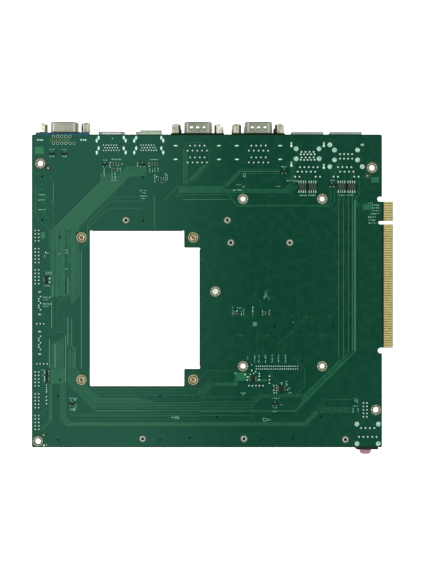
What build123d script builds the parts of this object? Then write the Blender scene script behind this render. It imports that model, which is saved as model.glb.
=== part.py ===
"""Carrier evaluation board, lying solder side up on its tall connectors.

Millimetres, +Z up. Places on the board are measured from its lower left corner, seen from the
solder side, and spot() carries them into the part's frame: the middle of its footprint, on the
surface that it lies on. Connectors hang below the board, and solder joints stand on it.
"""
import os
from math import radians, tan

from build123d import *

os.makedirs("parts", exist_ok=True)

# ---- the board ----
BOARD_L = 202.0  # left edge to right edge, without the edge tab
BOARD_W = 180.5
BOARD_T = 1.6
BOARD_CORNER = 0.6
WINDOW_X = (33.4, 97.1)
WINDOW_Y = (35.2, 125.2)
WINDOW_STEP = (9.2, 10.0)  # the right corners are stepped in round the standoffs
WINDOW_CORNER = 0.5
CORNER_HOLES = [(4.9, BOARD_W - 16.7), (3.5, 3.5), (BOARD_L - 5.7, BOARD_W - 19.2),
                (BOARD_L - 3.5, 21.6)]
CORNER_HOLE_R = 1.6
COOLER_HOLES_C = (144.7, 95.05)  # a bracket screws to these four
COOLER_HOLES_PITCH = (45.7, 96.5)
COOLER_HOLE_R = 1.4
LONE_HOLE = (105.9, 89.9)

# ---- the edge tab and its contacts ----
TAB_REACH = 6.4
TAB_LOW_Y = 57.45
TAB_TIP_CHAMFER = 0.8
CONTACT_PITCH = 1.0
CONTACTS_ABOVE_KEY = 11
CONTACTS_BELOW_KEY = 71
KEY_GAP = 3.0  # between the contacts on either side of the key slot
CONTACT_END = 0.65  # from the last contact's middle to the tab's side
CONTACT_W = 0.7
CONTACT_L = 4.2
CONTACT_T = 0.05
BEVEL_L = 1.1
BEVEL_T = 0.45
KEY_W = 1.9
KEY_DEPTH = 8.4
RELIEF_TOP_W = 2.9
RELIEF_TOP_DEPTH = 2.7
RELIEF_LOW_W = 3.3
RELIEF_LOW_DEPTH = 2.4

# ---- standoffs ----
SMALL_SIDES = 8  # small round pieces that repeat are prisms with this many sides
ROUND_SIDES = 12  # and larger ones have this many
MODULE_FRAME_C = (60.9, 80.05)
MODULE_FRAME_PITCH = (64.4, 82.1)
MODULE_STANDOFF_R = 3.0
MODULE_SHANK_R = 2.15
MODULE_THREAD_R = 1.1
MODULE_SEAT = 5.0  # from the board to the module
SHANK_FIT = 0.15
CARD_STANDOFF_R = 2.1
CARD_THREAD_R = 0.8
CARD_SEAT = 2.9

# ---- sockets on the hidden side ----
CARD_SOCKETS_RIGHT = [(5.9, 143.6), (64.4, 143.3), (15.1, 16.95), (74.0, 17.0),
                      (BOARD_L - 69.25, 17.05)]
CARD_SOCKETS_UP = [(127.3, 70.3), (161.35, 70.25)]
CARD_REACH = [(48.4, -12.6), (48.4, -12.3), (48.8, -12.05), (48.4, -12.1), (48.15, -12.55)]
CARD_REACH_UP = [(-12.5, 47.75), (-12.55, 47.8)]  # from a socket's pegs to its standoff
CARD_SOCKET_L = 30.0
CARD_SOCKET_BACK = 2.2
CARD_SOCKET_FRONT = 6.5
CARD_SOCKET_H = 5.2
CARD_SLOT_H = 1.3
CARD_SLOT_DEPTH = 4.4
CARD_SLOT_L = 27.0
MODULE_SOCKET_C = (17.0, 80.15)
MODULE_SOCKET_L = 89.0
MODULE_SOCKET_DEPTH = 10.4
MODULE_SOCKET_H = 7.8
MODULE_SLOT_L = 82.6
MODULE_SLOT_H = 1.4
MODULE_SLOT_DEPTH = 4.6
SATA_SOCKETS = [(4.6, 83.2), (4.6, 60.3)]
SATA_L = 16.9
SATA_W = 6.2
SATA_H = 8.9
SATA_WALL = 1.1
SATA_DEPTH = 6.0
SATA_BLADE_L = 10.4
SATA_BLADE_T = 1.2
SATA_PIN_PITCH = 1.27
SATA_PINS = 7
SATA_PIN_SHIFT = 0.5  # every third pin stands to one side, the others to the other
SATA_MOUNTS = 6.5  # from the middle to the joint at each end
SATA_MOUNT_W = 1.9
SATA_MOUNT_L = 1.0

# ---- pin headers: middle x, middle y, pins along x, pins along y ----
HEADER_PITCH = 2.0
HEADERS = [(3.1, 122.1, 2, 4), (3.1, 110.6, 2, 5), (3.1, 98.35, 2, 5), (3.1, 39.5, 2, 5),
           (3.1, 26.9, 2, 5), (3.1, 14.4, 2, 5), (BOARD_L - 9.7, 21.65, 2, 5)]
STRIP_PITCH = 2.0
STRIPS = [(4.95, 71.3, 3, 1), (5.95, 48.2, 4, 1), (8.5, 27.2, 1, 3), (137.1, 39.05, 1, 3),
          (129.3, 35.6, 5, 1)]
HEADER_BASE_H = 2.2
HEADER_PIN_L = 6.2
HEADER_PIN_W = 0.55
FINE_HEADER_C = (141.35, 46.0)
FINE_PITCH = 1.25
FINE_ROWS = 1.6
FINE_COUNT = 20
FINE_HEADER_SIZE = (27.4, 5.6)
FINE_HEADER_H = 5.0
FINE_HEADER_WALL = 0.9
FINE_HEADER_FLOOR = 1.2

# ---- solder joints ----
JOINT_H = 1.0
JOINT_FOOT = 1.3
FINE_JOINT_FOOT = 0.9
FINE_JOINT_H = 0.7
STAKE_W = 1.0
STAKE_L = 2.6
STAKE_H = 0.8

# ---- D-shaped connectors ----
D_FLANGE_W = 30.8
D_FLANGE_H = 12.5
D_PLATE_T = 0.4
D_SHELL_W = 16.9
D_SHELL_H = 8.4
D_SHELL_WALL = 0.4
D_SHELL_R = 2.4
D_SLANT = 10.0
D_SCREW_PITCH = 25.0
D_SCREW_R = 2.75  # to the hexagon's corners
D_SCREW_BORE_R = 1.2
D_SCREW_BORE = 4.0
D_PIN_PITCH = 2.77
D_PIN_ROWS = 2.84
D_PIN_W = 0.9
D_PIN_L = 5.2
D_LOCK_W = 2.9
D_LOCK_T = 1.0
D_FIT = 0.1

VGA_X = 17.3
VGA_REACH = 1.5  # plate's front, past the board's edge
VGA_SHELL_REACH = 7.3
VGA_BODY_W = 24.6
VGA_BODY_BACK = 10.6  # behind the board's edge
VGA_FRONT_T = 6.0
VGA_ROWS = [(1.1, 0.0, 5), (3.2, -1.15, 5), (5.1, 1.2, 6)]  # behind the edge, sideways, pins
VGA_PIN_STEP = 2.39
VGA_LOCK_BACK = 3.2

COM_X = [95.5, 130.8]
COM_REACH = 0.9
COM_SHELL_REACH = 7.0
COM_SCREW_REACH = 6.1
COM_LOWER_Z = 6.5  # lower plug's middle, from the board
COM_PITCH = 15.9
COM_BODY_W = 25.4
COM_FRONT_T = 5.2
COM_BODY_BACK = 18.0
COM_STEP_BACK = 11.5
COM_ROWS = [(6.5, 4), (9.4, 5), (13.3, 4), (16.2, 5)]  # behind the edge, pins
COM_LOCKS_BACK = [6.5, 14.4]

# ---- HDMI sockets ----
HDMI_X = [45.85, 67.5]
HDMI_REACH = 1.8
HDMI_W = 14.9
HDMI_FOOT_W = 10.6
HDMI_SIDE_H = 4.0
HDMI_H = 6.0
HDMI_WALL = 0.35
HDMI_BACK = 10.4
HDMI_BLOCK_L = 4.6
HDMI_TONGUE_L = 6.2
HDMI_TONGUE_W = 11.0
HDMI_TONGUE_T = 1.4
HDMI_FIT = 0.05
HDMI_PIN_PITCH = 1.5
HDMI_ROWS = [(6.2, -0.75, 6), (7.7, 0.0, 6), (9.2, 0.0, 7)]
HDMI_STAKES = [(1.9, 7.25), (3.6, 8.35), (8.0, 7.25), (10.45, 8.35)]  # behind the edge, sideways

# ---- network sockets over two USB sockets ----
LAN_X = [159.1, 181.3]
LAN_REACH = 1.5
LAN_W = 17.4
LAN_H = 27.0
LAN_BACK = 27.3
LAN_WALL = 0.3
LAN_COLLAR = 0.5
LAN_COLLAR_L = 1.2
LAN_FIT = 0.05
USB_W = 13.0
USB_H = 5.4
USB_Z = [4.6, 11.4]
USB_DEPTH = 10.5
USB_TONGUE_T = 1.9
USB_TONGUE_W = 11.2
USB_TONGUE_L = 8.8
JACK_W = 12.0
JACK_H = 6.9
JACK_Z = 18.6
JACK_DEPTH = 14.0
JACK_LATCH = [(6.4, 2.2), (4.2, 3.9)]  # steps for the plug's latch: width, height past the mouth
LAN3_JACK_ROWS = [(18.9, 5, 2.54, 0.7), (21.5, 5, 2.54, -0.65)]
LAN2_JACK_ROWS = [(18.9, 4, 2.57, -0.85), (21.5, 4, 2.57, 0.4)]
LAN_SIDE_PINS = [(24.4, 4.7), (24.4, 7.2)]
LAN3_USB_ROWS = [(10.1, 4, 2.33), (11.5, 5, 2.0), (13.3, 4, 2.33), (14.7, 5, 2.0)]
LAN2_USB_ROWS = [(11.4, 4, 2.33), (14.0, 4, 2.33)]
LAN3_PEGS = [(8.3, 6.65), (14.0, 6.65)]
LAN2_PEGS = [(9.0, 6.65), (14.7, 6.65)]
LAN_TABS = [(6.0, 9.35), (18.6, 9.35)]
LAN_PEG_W = 1.7

# ---- audio jacks ----
AUDIO_X = BOARD_L - 8.25
AUDIO_REACH = 1.5
AUDIO_BARREL_REACH = 4.1
AUDIO_W = 12.6
AUDIO_BACK = 14.6
AUDIO_H = 24.5
AUDIO_Z = [6.4, 18.6]
AUDIO_BARREL_R = 3.3
AUDIO_BORE_R = 1.8
AUDIO_BORE = 12.0
AUDIO_ROWS = [(11.2, 4, 2.54), (6.1, 5, 2.54)]
AUDIO_PADS = [(13.45, 6.2), (2.1, 6.1)]

# ---- chips on the solder side: middle x, middle y ----
DRIVER_XS = [156.0, 161.9, 178.6, 184.3]
DRIVER_BACK = 30.2  # from the board's edge
DRIVER_SIZE = (4.9, 3.9, 1.5)
LEG_COUNT = 4
LEG_PITCH = 1.27
LEG_SPAN = 6.2
LEG_W = 0.45
LEG_T = 0.2
LEG_H = 0.8
LEG_FOOT = 0.5
CHIPS = [(127.5, 39.5, 2.9, 3.2), (8.7, 39.5, 1.6, 3.0), (8.7, 43.2, 1.6, 3.0),
         (8.4, 96.8, 2.0, 4.0), (144.0, 33.8, 3.4, 3.4)]  # and their length and width
CHIP_H = 1.0
TRIPLES = [(145.6, BOARD_W - 21.2), (173.0, BOARD_W - 29.0), (11.5, BOARD_W - 11.2),
           (18.7, BOARD_W - 11.2), (42.2, BOARD_W - 17.4), (63.8, BOARD_W - 17.5),
           (140.2, 25.1), (23.3, 25.1)]
TRIPLE_SIZE = (2.9, 1.4, 1.0)
PASSIVE_SIZE = (0.8, 1.6, 0.6)
PASSIVE_ROWS = [(47.2, BOARD_W - 17.1, 3), (46.4, BOARD_W - 20.2, 2), (68.0, BOARD_W - 17.2, 4),
                (73.1, BOARD_W - 25.6, 3), (116.9, 77.7, 2), (120.9, 77.7, 1),
                (133.2, 77.5, 2), (137.0, 78.0, 1), (139.8, 33.9, 1)]
PASSIVE_STEP = 1.5

# ---- levels and the frame ----
COMPONENT_Z = COM_LOWER_Z + COM_PITCH + D_FLANGE_H / 2  # the tallest stacks touch the ground
SOLDER_Z = COMPONENT_Z + BOARD_T
TAB_TIP = BOARD_L + TAB_REACH
TAB_W = (CONTACTS_ABOVE_KEY + CONTACTS_BELOW_KEY - 2) * CONTACT_PITCH + KEY_GAP + 2 * CONTACT_END
TAB_TOP_Y = TAB_LOW_Y + TAB_W
KEY_Y = TAB_TOP_Y - CONTACT_END - (CONTACTS_ABOVE_KEY - 1) * CONTACT_PITCH - KEY_GAP / 2
X_MID = TAB_TIP / 2
Y_MID = (BOARD_W + VGA_SHELL_REACH - AUDIO_BARREL_REACH) / 2
CUT = 1.0  # how far a cutting solid runs past what it cuts


def spot(x, y):
    """A place on the board, carried into the part's frame."""
    return (x - X_MID, y - Y_MID)


def ground(z_below_board):
    """A level given as a distance below the component side."""
    return COMPONENT_Z - z_below_board


def front(x, y, depth_below):
    """A plane across the board's long edge: its x runs along the edge and its y runs up."""
    px, py = spot(x, y)
    return Plane(origin=(px, py, ground(depth_below)), x_dir=(1, 0, 0), z_dir=(0, -1, 0))


def row(middle_x, y, count, pitch):
    """Places of a row of pins along the board's long edge."""
    return [spot(middle_x + (i - (count - 1) / 2) * pitch, y) for i in range(count)]


def grid(x, y, count_x, count_y, pitch):
    """Places of a block of pins."""
    return [spot(x + (i - (count_x - 1) / 2) * pitch, y + (j - (count_y - 1) / 2) * pitch)
            for i in range(count_x) for j in range(count_y)]


def save(part, label):
    part.label = label
    export_step(part, f"parts/{label}.step")


# ---- board ----
window_middle = ((WINDOW_X[0] + WINDOW_X[1]) / 2, (WINDOW_Y[0] + WINDOW_Y[1]) / 2)
window_size = (WINDOW_X[1] - WINDOW_X[0], WINDOW_Y[1] - WINDOW_Y[0])
cooler_holes = [spot(COOLER_HOLES_C[0] + i * COOLER_HOLES_PITCH[0] / 2,
                     COOLER_HOLES_C[1] + j * COOLER_HOLES_PITCH[1] / 2)
                for i in (-1, 1) for j in (-1, 1)]
module_spots = [spot(MODULE_FRAME_C[0] + i * MODULE_FRAME_PITCH[0] / 2,
                     MODULE_FRAME_C[1] + j * MODULE_FRAME_PITCH[1] / 2)
                for i in (-1, 1) for j in (-1, 1)]
card_spots = [spot(x + dx, y + dy)
              for (x, y), (dx, dy) in zip(CARD_SOCKETS_RIGHT + CARD_SOCKETS_UP,
                                          CARD_REACH + CARD_REACH_UP)]
relief_top = (BOARD_L - RELIEF_TOP_DEPTH + RELIEF_TOP_W / 2, TAB_TOP_Y + RELIEF_TOP_W / 2)
relief_low = (BOARD_L - RELIEF_LOW_DEPTH + RELIEF_LOW_W / 2, TAB_LOW_Y - RELIEF_LOW_W / 2)
key_end = (TAB_TIP - KEY_DEPTH + KEY_W / 2, KEY_Y)

with BuildPart() as board:
    with BuildSketch(Plane.XY.offset(COMPONENT_Z)) as outline:
        with Locations(spot(BOARD_L / 2, BOARD_W / 2)):
            Rectangle(BOARD_L, BOARD_W)
            chamfer(outline.vertices(), BOARD_CORNER)
        with Locations(spot(BOARD_L + TAB_REACH / 2, (TAB_LOW_Y + TAB_TOP_Y) / 2)):
            Rectangle(TAB_REACH, TAB_W)
        chamfer(outline.vertices().group_by(Axis.X)[-1], TAB_TIP_CHAMFER)
        for (x, y), width in ((relief_top, RELIEF_TOP_W), (relief_low, RELIEF_LOW_W),
                              (key_end, KEY_W)):
            with Locations(spot(x, y)):
                Circle(width / 2, mode=Mode.SUBTRACT)
                Rectangle(TAB_TIP - x + CUT if width == KEY_W else BOARD_L - x, width,
                          align=(Align.MIN, Align.CENTER), mode=Mode.SUBTRACT)
        with Locations(*[spot(*hole) for hole in CORNER_HOLES]):
            Circle(CORNER_HOLE_R, mode=Mode.SUBTRACT)
        with Locations(*cooler_holes):
            Circle(COOLER_HOLE_R, mode=Mode.SUBTRACT)
        with Locations(spot(*LONE_HOLE)):
            RegularPolygon(COOLER_HOLE_R, ROUND_SIDES, mode=Mode.SUBTRACT)
        with Locations(*module_spots):
            RegularPolygon(MODULE_SHANK_R + SHANK_FIT, ROUND_SIDES, mode=Mode.SUBTRACT)
        with Locations(*card_spots):
            RegularPolygon(CARD_THREAD_R, SMALL_SIDES, mode=Mode.SUBTRACT)
    extrude(amount=BOARD_T)
    with BuildSketch(Plane.XY.offset(COMPONENT_Z)) as window:
        with Locations(spot(*window_middle)):
            Rectangle(*window_size)
        for side in (-1, 1):
            corner = (WINDOW_X[1], window_middle[1] + side * window_size[1] / 2)
            with Locations(spot(*corner)):
                Rectangle(2 * WINDOW_STEP[0], 2 * WINDOW_STEP[1], mode=Mode.SUBTRACT)
        chamfer(window.vertices(), WINDOW_CORNER)
    extrude(amount=BOARD_T, mode=Mode.SUBTRACT)
    tip = Plane.XZ.offset(-spot(0, TAB_TOP_Y + CUT)[1])
    with BuildSketch(tip):
        for z, rise in ((SOLDER_Z, -BEVEL_T), (COMPONENT_Z, BEVEL_T)):
            with BuildLine():
                Polyline((TAB_TIP - X_MID - BEVEL_L, z), (TAB_TIP - X_MID, z + rise),
                         (TAB_TIP - X_MID + CUT, z + rise), (TAB_TIP - X_MID + CUT, z - rise),
                         (TAB_TIP - X_MID - BEVEL_L, z - rise), close=True)
            make_face()
    extrude(amount=TAB_W + 2 * CUT, mode=Mode.SUBTRACT)
save(board.part, "board")

# ---- contacts of the edge tab ----
contact_x = TAB_TIP - BEVEL_L - CONTACT_L / 2
first_y = TAB_TOP_Y - CONTACT_END
last_y = TAB_LOW_Y + CONTACT_END
contact_spots = [spot(contact_x, first_y - i * CONTACT_PITCH) for i in range(CONTACTS_ABOVE_KEY)]
contact_spots += [spot(contact_x, last_y + i * CONTACT_PITCH) for i in range(CONTACTS_BELOW_KEY)]
for label, z in (("tab_contacts_solder_side", SOLDER_Z),
                 ("tab_contacts_component_side", COMPONENT_Z - CONTACT_T)):
    with BuildPart() as contacts:
        with BuildSketch(Plane.XY.offset(z)):
            with Locations(*contact_spots):
                Rectangle(CONTACT_L, CONTACT_W)
        extrude(amount=CONTACT_T)
    save(contacts.part, label)

# ---- standoffs ----
with BuildPart() as module_standoffs:
    with BuildSketch(Plane.XY.offset(COMPONENT_Z)):
        with Locations(*module_spots):
            RegularPolygon(MODULE_STANDOFF_R, ROUND_SIDES)
    extrude(amount=-MODULE_SEAT)
    with BuildSketch(Plane.XY.offset(COMPONENT_Z)):
        with Locations(*module_spots):
            RegularPolygon(MODULE_SHANK_R, ROUND_SIDES)
    extrude(amount=BOARD_T)
    with BuildSketch(Plane.XY.offset(SOLDER_Z)):
        with Locations(*module_spots):
            Circle(MODULE_THREAD_R)
    extrude(amount=-BOARD_T - MODULE_SEAT, mode=Mode.SUBTRACT)
save(module_standoffs.part, "module_standoffs")

with BuildPart() as card_standoffs:
    with BuildSketch(Plane.XY.offset(COMPONENT_Z)):
        with Locations(*card_spots):
            RegularPolygon(CARD_STANDOFF_R, ROUND_SIDES)
            RegularPolygon(CARD_THREAD_R, SMALL_SIDES, mode=Mode.SUBTRACT)
    extrude(amount=-CARD_SEAT)
save(card_standoffs.part, "card_standoffs")


# ---- card and module sockets ----
def edge_socket(plane, length, depth, height, slot_l, slot_h, slot_depth, seat, back_gap=0.0):
    """A socket for a card's edge: a bar with a slot along its front, whose floor is the seat.

    The plane's x points at the card and its y away from the board."""
    with BuildPart() as socket:
        with BuildSketch(plane):
            with BuildLine():
                Polyline((-back_gap, 0), (depth - back_gap, 0), (depth - back_gap, height * 0.75),
                         (depth - back_gap - height * 0.25, height), (-back_gap, height),
                         close=True)
            make_face()
        extrude(amount=length / 2, both=True)
        with BuildSketch(plane):
            with Locations((depth - back_gap, seat - slot_h * 0.05)):
                Rectangle(2 * slot_depth, slot_h, align=(Align.CENTER, Align.MIN))
        extrude(amount=slot_l / 2, both=True, mode=Mode.SUBTRACT)
    return socket.part


for number, (x, y) in enumerate(CARD_SOCKETS_RIGHT + CARD_SOCKETS_UP, 1):
    px, py = spot(x, y)
    opens_right = number <= len(CARD_SOCKETS_RIGHT)
    along = (0, 1, 0) if opens_right else (-1, 0, 0)
    toward = (1, 0, 0) if opens_right else (0, 1, 0)
    across = Plane(origin=(px, py, COMPONENT_Z), x_dir=toward, z_dir=along)
    socket = edge_socket(across, CARD_SOCKET_L, CARD_SOCKET_BACK + CARD_SOCKET_FRONT,
                         CARD_SOCKET_H, CARD_SLOT_L, CARD_SLOT_H, CARD_SLOT_DEPTH, CARD_SEAT,
                         CARD_SOCKET_BACK)
    save(socket, f"card_socket_{number}")

module_x, module_y = spot(MODULE_SOCKET_C[0] - MODULE_SOCKET_DEPTH / 2, MODULE_SOCKET_C[1])
module_plane = Plane(origin=(module_x, module_y, COMPONENT_Z), x_dir=(1, 0, 0), z_dir=(0, 1, 0))
module_socket = edge_socket(module_plane, MODULE_SOCKET_L, MODULE_SOCKET_DEPTH, MODULE_SOCKET_H,
                            MODULE_SLOT_L, MODULE_SLOT_H, MODULE_SLOT_DEPTH, MODULE_SEAT)
save(module_socket, "module_socket")

# ---- drive sockets: a shroud round an L-shaped blade ----
for number, place in enumerate(SATA_SOCKETS, 1):
    with BuildPart() as drive_socket:
        with BuildSketch(Plane.XY.offset(COMPONENT_Z)):
            with Locations(spot(*place)):
                Rectangle(SATA_W, SATA_L)
        extrude(amount=-SATA_H)
        with BuildSketch(Plane.XY.offset(ground(SATA_H))):
            with Locations(spot(*place)):
                Rectangle(SATA_W - 2 * SATA_WALL, SATA_L - 2 * SATA_WALL)
                Rectangle(SATA_BLADE_T, SATA_BLADE_L, mode=Mode.SUBTRACT)
            with Locations(spot(place[0], place[1] + SATA_BLADE_L / 2 - SATA_BLADE_T / 2)):
                Rectangle(2 * SATA_BLADE_T, SATA_BLADE_T, align=(Align.MIN, Align.CENTER),
                          mode=Mode.SUBTRACT)
        extrude(amount=SATA_DEPTH, mode=Mode.SUBTRACT)
    save(drive_socket.part, f"drive_socket_{number}")

# ---- pin headers ----
header_blocks = [(*block, HEADER_PITCH) for block in HEADERS]
header_blocks += [(*block, STRIP_PITCH) for block in STRIPS]
header_spots = [place for block in header_blocks for place in grid(*block)]
with BuildPart() as header_bases:
    with BuildSketch(Plane.XY.offset(COMPONENT_Z)):
        for x, y, nx, ny, pitch in header_blocks:
            with Locations(spot(x, y)):
                Rectangle(nx * pitch, ny * pitch)
    extrude(amount=-HEADER_BASE_H)
save(header_bases.part, "header_bases")
with BuildPart() as header_pins:
    with BuildSketch(Plane.XY.offset(ground(HEADER_BASE_H))):
        with Locations(*header_spots):
            Rectangle(HEADER_PIN_W, HEADER_PIN_W)
    extrude(amount=HEADER_BASE_H - HEADER_PIN_L)
save(header_pins.part, "header_pins")

with BuildPart() as fine_header:
    with BuildSketch(Plane.XY.offset(COMPONENT_Z)):
        with Locations(spot(*FINE_HEADER_C)):
            Rectangle(*FINE_HEADER_SIZE)
    extrude(amount=-FINE_HEADER_H)
    offset(amount=-FINE_HEADER_WALL, openings=fine_header.faces().sort_by(Axis.Z)[0])
    with BuildSketch(Plane.XY.offset(COMPONENT_Z)):
        with Locations(spot(*FINE_HEADER_C)):
            Rectangle(*FINE_HEADER_SIZE)
    extrude(amount=-FINE_HEADER_FLOOR)
save(fine_header.part, "fine_header")


# ---- D-shaped connectors ----
def d_outline(width, height, radius):
    """The D shape: its long side is away from the board, and its ends slant in."""
    half = width / 2
    inset = height * tan(radians(D_SLANT))
    with BuildSketch() as outline:
        with BuildLine():
            Polyline((-half, -height / 2), (half, -height / 2), (half - inset, height / 2),
                     (-half + inset, height / 2), close=True)
        make_face()
        fillet(outline.vertices(), radius)
    return outline.sketch


def d_shells(x, middles, plate_front, shell_front):
    """Drawn shells with their flange plates, one solid for each connector of a stack."""
    outer = d_outline(D_SHELL_W, D_SHELL_H, D_SHELL_R)
    inner = d_outline(D_SHELL_W - 2 * D_SHELL_WALL, D_SHELL_H - 2 * D_SHELL_WALL,
                      D_SHELL_R - D_SHELL_WALL)
    with BuildPart() as shells:
        for depth in middles:
            plane = front(x, BOARD_W + plate_front - D_PLATE_T, depth)
            with BuildSketch(plane):
                Rectangle(D_FLANGE_W, D_FLANGE_H)
            extrude(amount=-D_PLATE_T)
            with BuildSketch(plane):
                add(outer)
            extrude(amount=-(shell_front - plate_front + D_PLATE_T))
            with BuildSketch(plane):
                add(inner)
            extrude(amount=-(shell_front - plate_front + D_PLATE_T), mode=Mode.SUBTRACT)
    return shells.part


def jackscrews(x, middles, plate_front, reach):
    """Hexagonal screws beside each shell, with a threaded bore for the plug's screw."""
    with BuildPart() as screws:
        for depth in middles:
            with BuildSketch(front(x, BOARD_W + plate_front, depth)):
                with GridLocations(D_SCREW_PITCH, 0, 2, 1):
                    RegularPolygon(D_SCREW_R, 6)
            extrude(amount=-(reach - plate_front))
            with BuildSketch(front(x, BOARD_W + reach, depth)):
                with GridLocations(D_SCREW_PITCH, 0, 2, 1):
                    RegularPolygon(D_SCREW_BORE_R, SMALL_SIDES)
            extrude(amount=D_SCREW_BORE, mode=Mode.SUBTRACT)
    return screws.part


# ---- display socket ----
vga_middle = D_FLANGE_H / 2
with BuildPart() as vga_housing:
    with BuildSketch(front(VGA_X, BOARD_W + VGA_REACH - D_PLATE_T, vga_middle)):
        Rectangle(D_FLANGE_W, D_FLANGE_H)
    extrude(amount=VGA_FRONT_T)
    with BuildSketch(front(VGA_X, BOARD_W + VGA_REACH - D_PLATE_T, vga_middle)):
        Rectangle(VGA_BODY_W, D_FLANGE_H)
    extrude(amount=VGA_BODY_BACK + VGA_REACH - D_PLATE_T)
    with BuildSketch(front(VGA_X, BOARD_W + VGA_REACH - D_PLATE_T, vga_middle)):
        add(d_outline(D_SHELL_W - 2 * D_SHELL_WALL - 2 * D_FIT,
                      D_SHELL_H - 2 * D_SHELL_WALL - 2 * D_FIT, D_SHELL_R - D_SHELL_WALL))
    extrude(amount=-(VGA_SHELL_REACH - VGA_REACH))
save(vga_housing.part, "vga_housing")
save(d_shells(VGA_X, [vga_middle], VGA_REACH, VGA_SHELL_REACH), "vga_shell")
save(jackscrews(VGA_X, [vga_middle], VGA_REACH, VGA_SHELL_REACH), "vga_jackscrews")

# ---- double serial stacks ----
com_middles = [COM_LOWER_Z, COM_LOWER_Z + COM_PITCH]
com_height = com_middles[1] + D_FLANGE_H / 2
com_front = COM_REACH - D_PLATE_T
for number, x in enumerate(COM_X, 1):
    side = Plane(origin=(spot(x, 0)[0], spot(0, BOARD_W)[1], COMPONENT_Z), x_dir=(0, -1, 0),
                 z_dir=(1, 0, 0))
    with BuildPart() as com_housing:
        with BuildSketch(side):
            with BuildLine():
                Polyline((-com_front, 0), (COM_BODY_BACK, 0), (COM_BODY_BACK, com_middles[1]),
                         (COM_STEP_BACK, com_height), (-com_front, com_height), close=True)
            make_face()
        extrude(amount=COM_BODY_W / 2, both=True)
        with BuildSketch(front(x, BOARD_W + com_front, com_height / 2)):
            Rectangle(D_FLANGE_W, com_height)
        extrude(amount=COM_FRONT_T)
    save(com_housing.part, f"com_stack_{number}_housing")
    save(d_shells(x, com_middles, COM_REACH, COM_SHELL_REACH), f"com_stack_{number}_shells")
    save(jackscrews(x, com_middles, COM_REACH, COM_SCREW_REACH), f"com_stack_{number}_jackscrews")
    with BuildPart() as plug_pins:
        for depth in com_middles:
            for count, rise in ((5, -D_PIN_ROWS / 2), (4, D_PIN_ROWS / 2)):
                with BuildSketch(front(x, BOARD_W + com_front, depth - rise)):
                    with GridLocations(D_PIN_PITCH, 0, count, 1):
                        Rectangle(D_PIN_W, D_PIN_W)
                extrude(amount=-D_PIN_L)
    save(plug_pins.part, f"com_stack_{number}_pins")


# ---- HDMI sockets ----
def hdmi_outline(inset):
    """Wide and square away from the board, with the foot's corners slanted in."""
    wide = HDMI_W / 2
    foot = HDMI_FOOT_W / 2
    with BuildSketch() as outline:
        with BuildLine():
            Polyline((-foot, 0), (foot, 0), (wide, HDMI_SIDE_H - HDMI_H), (wide, -HDMI_H),
                     (-wide, -HDMI_H), (-wide, HDMI_SIDE_H - HDMI_H), close=True)
        make_face()
        if inset:
            offset(amount=-inset, kind=Kind.INTERSECTION, mode=Mode.REPLACE)
    return outline.sketch


for number, x in enumerate(HDMI_X, 1):
    face = front(x, BOARD_W + HDMI_REACH, 0)
    back = front(x, BOARD_W - HDMI_BACK, 0)
    with BuildPart() as hdmi_shell:
        with BuildSketch(face):
            add(hdmi_outline(0))
            add(hdmi_outline(HDMI_WALL), mode=Mode.SUBTRACT)
        extrude(amount=HDMI_REACH + HDMI_BACK)
    save(hdmi_shell.part, f"hdmi_{number}_shell")
    with BuildPart() as hdmi_insert:
        with BuildSketch(back):
            add(hdmi_outline(HDMI_WALL + HDMI_FIT))
        extrude(amount=-HDMI_BLOCK_L)
        with BuildSketch(back):
            with Locations((0, -HDMI_H / 2)):
                Rectangle(HDMI_TONGUE_W, HDMI_TONGUE_T)
        extrude(amount=-HDMI_BLOCK_L - HDMI_TONGUE_L)
    save(hdmi_insert.part, f"hdmi_{number}_insert")

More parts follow.
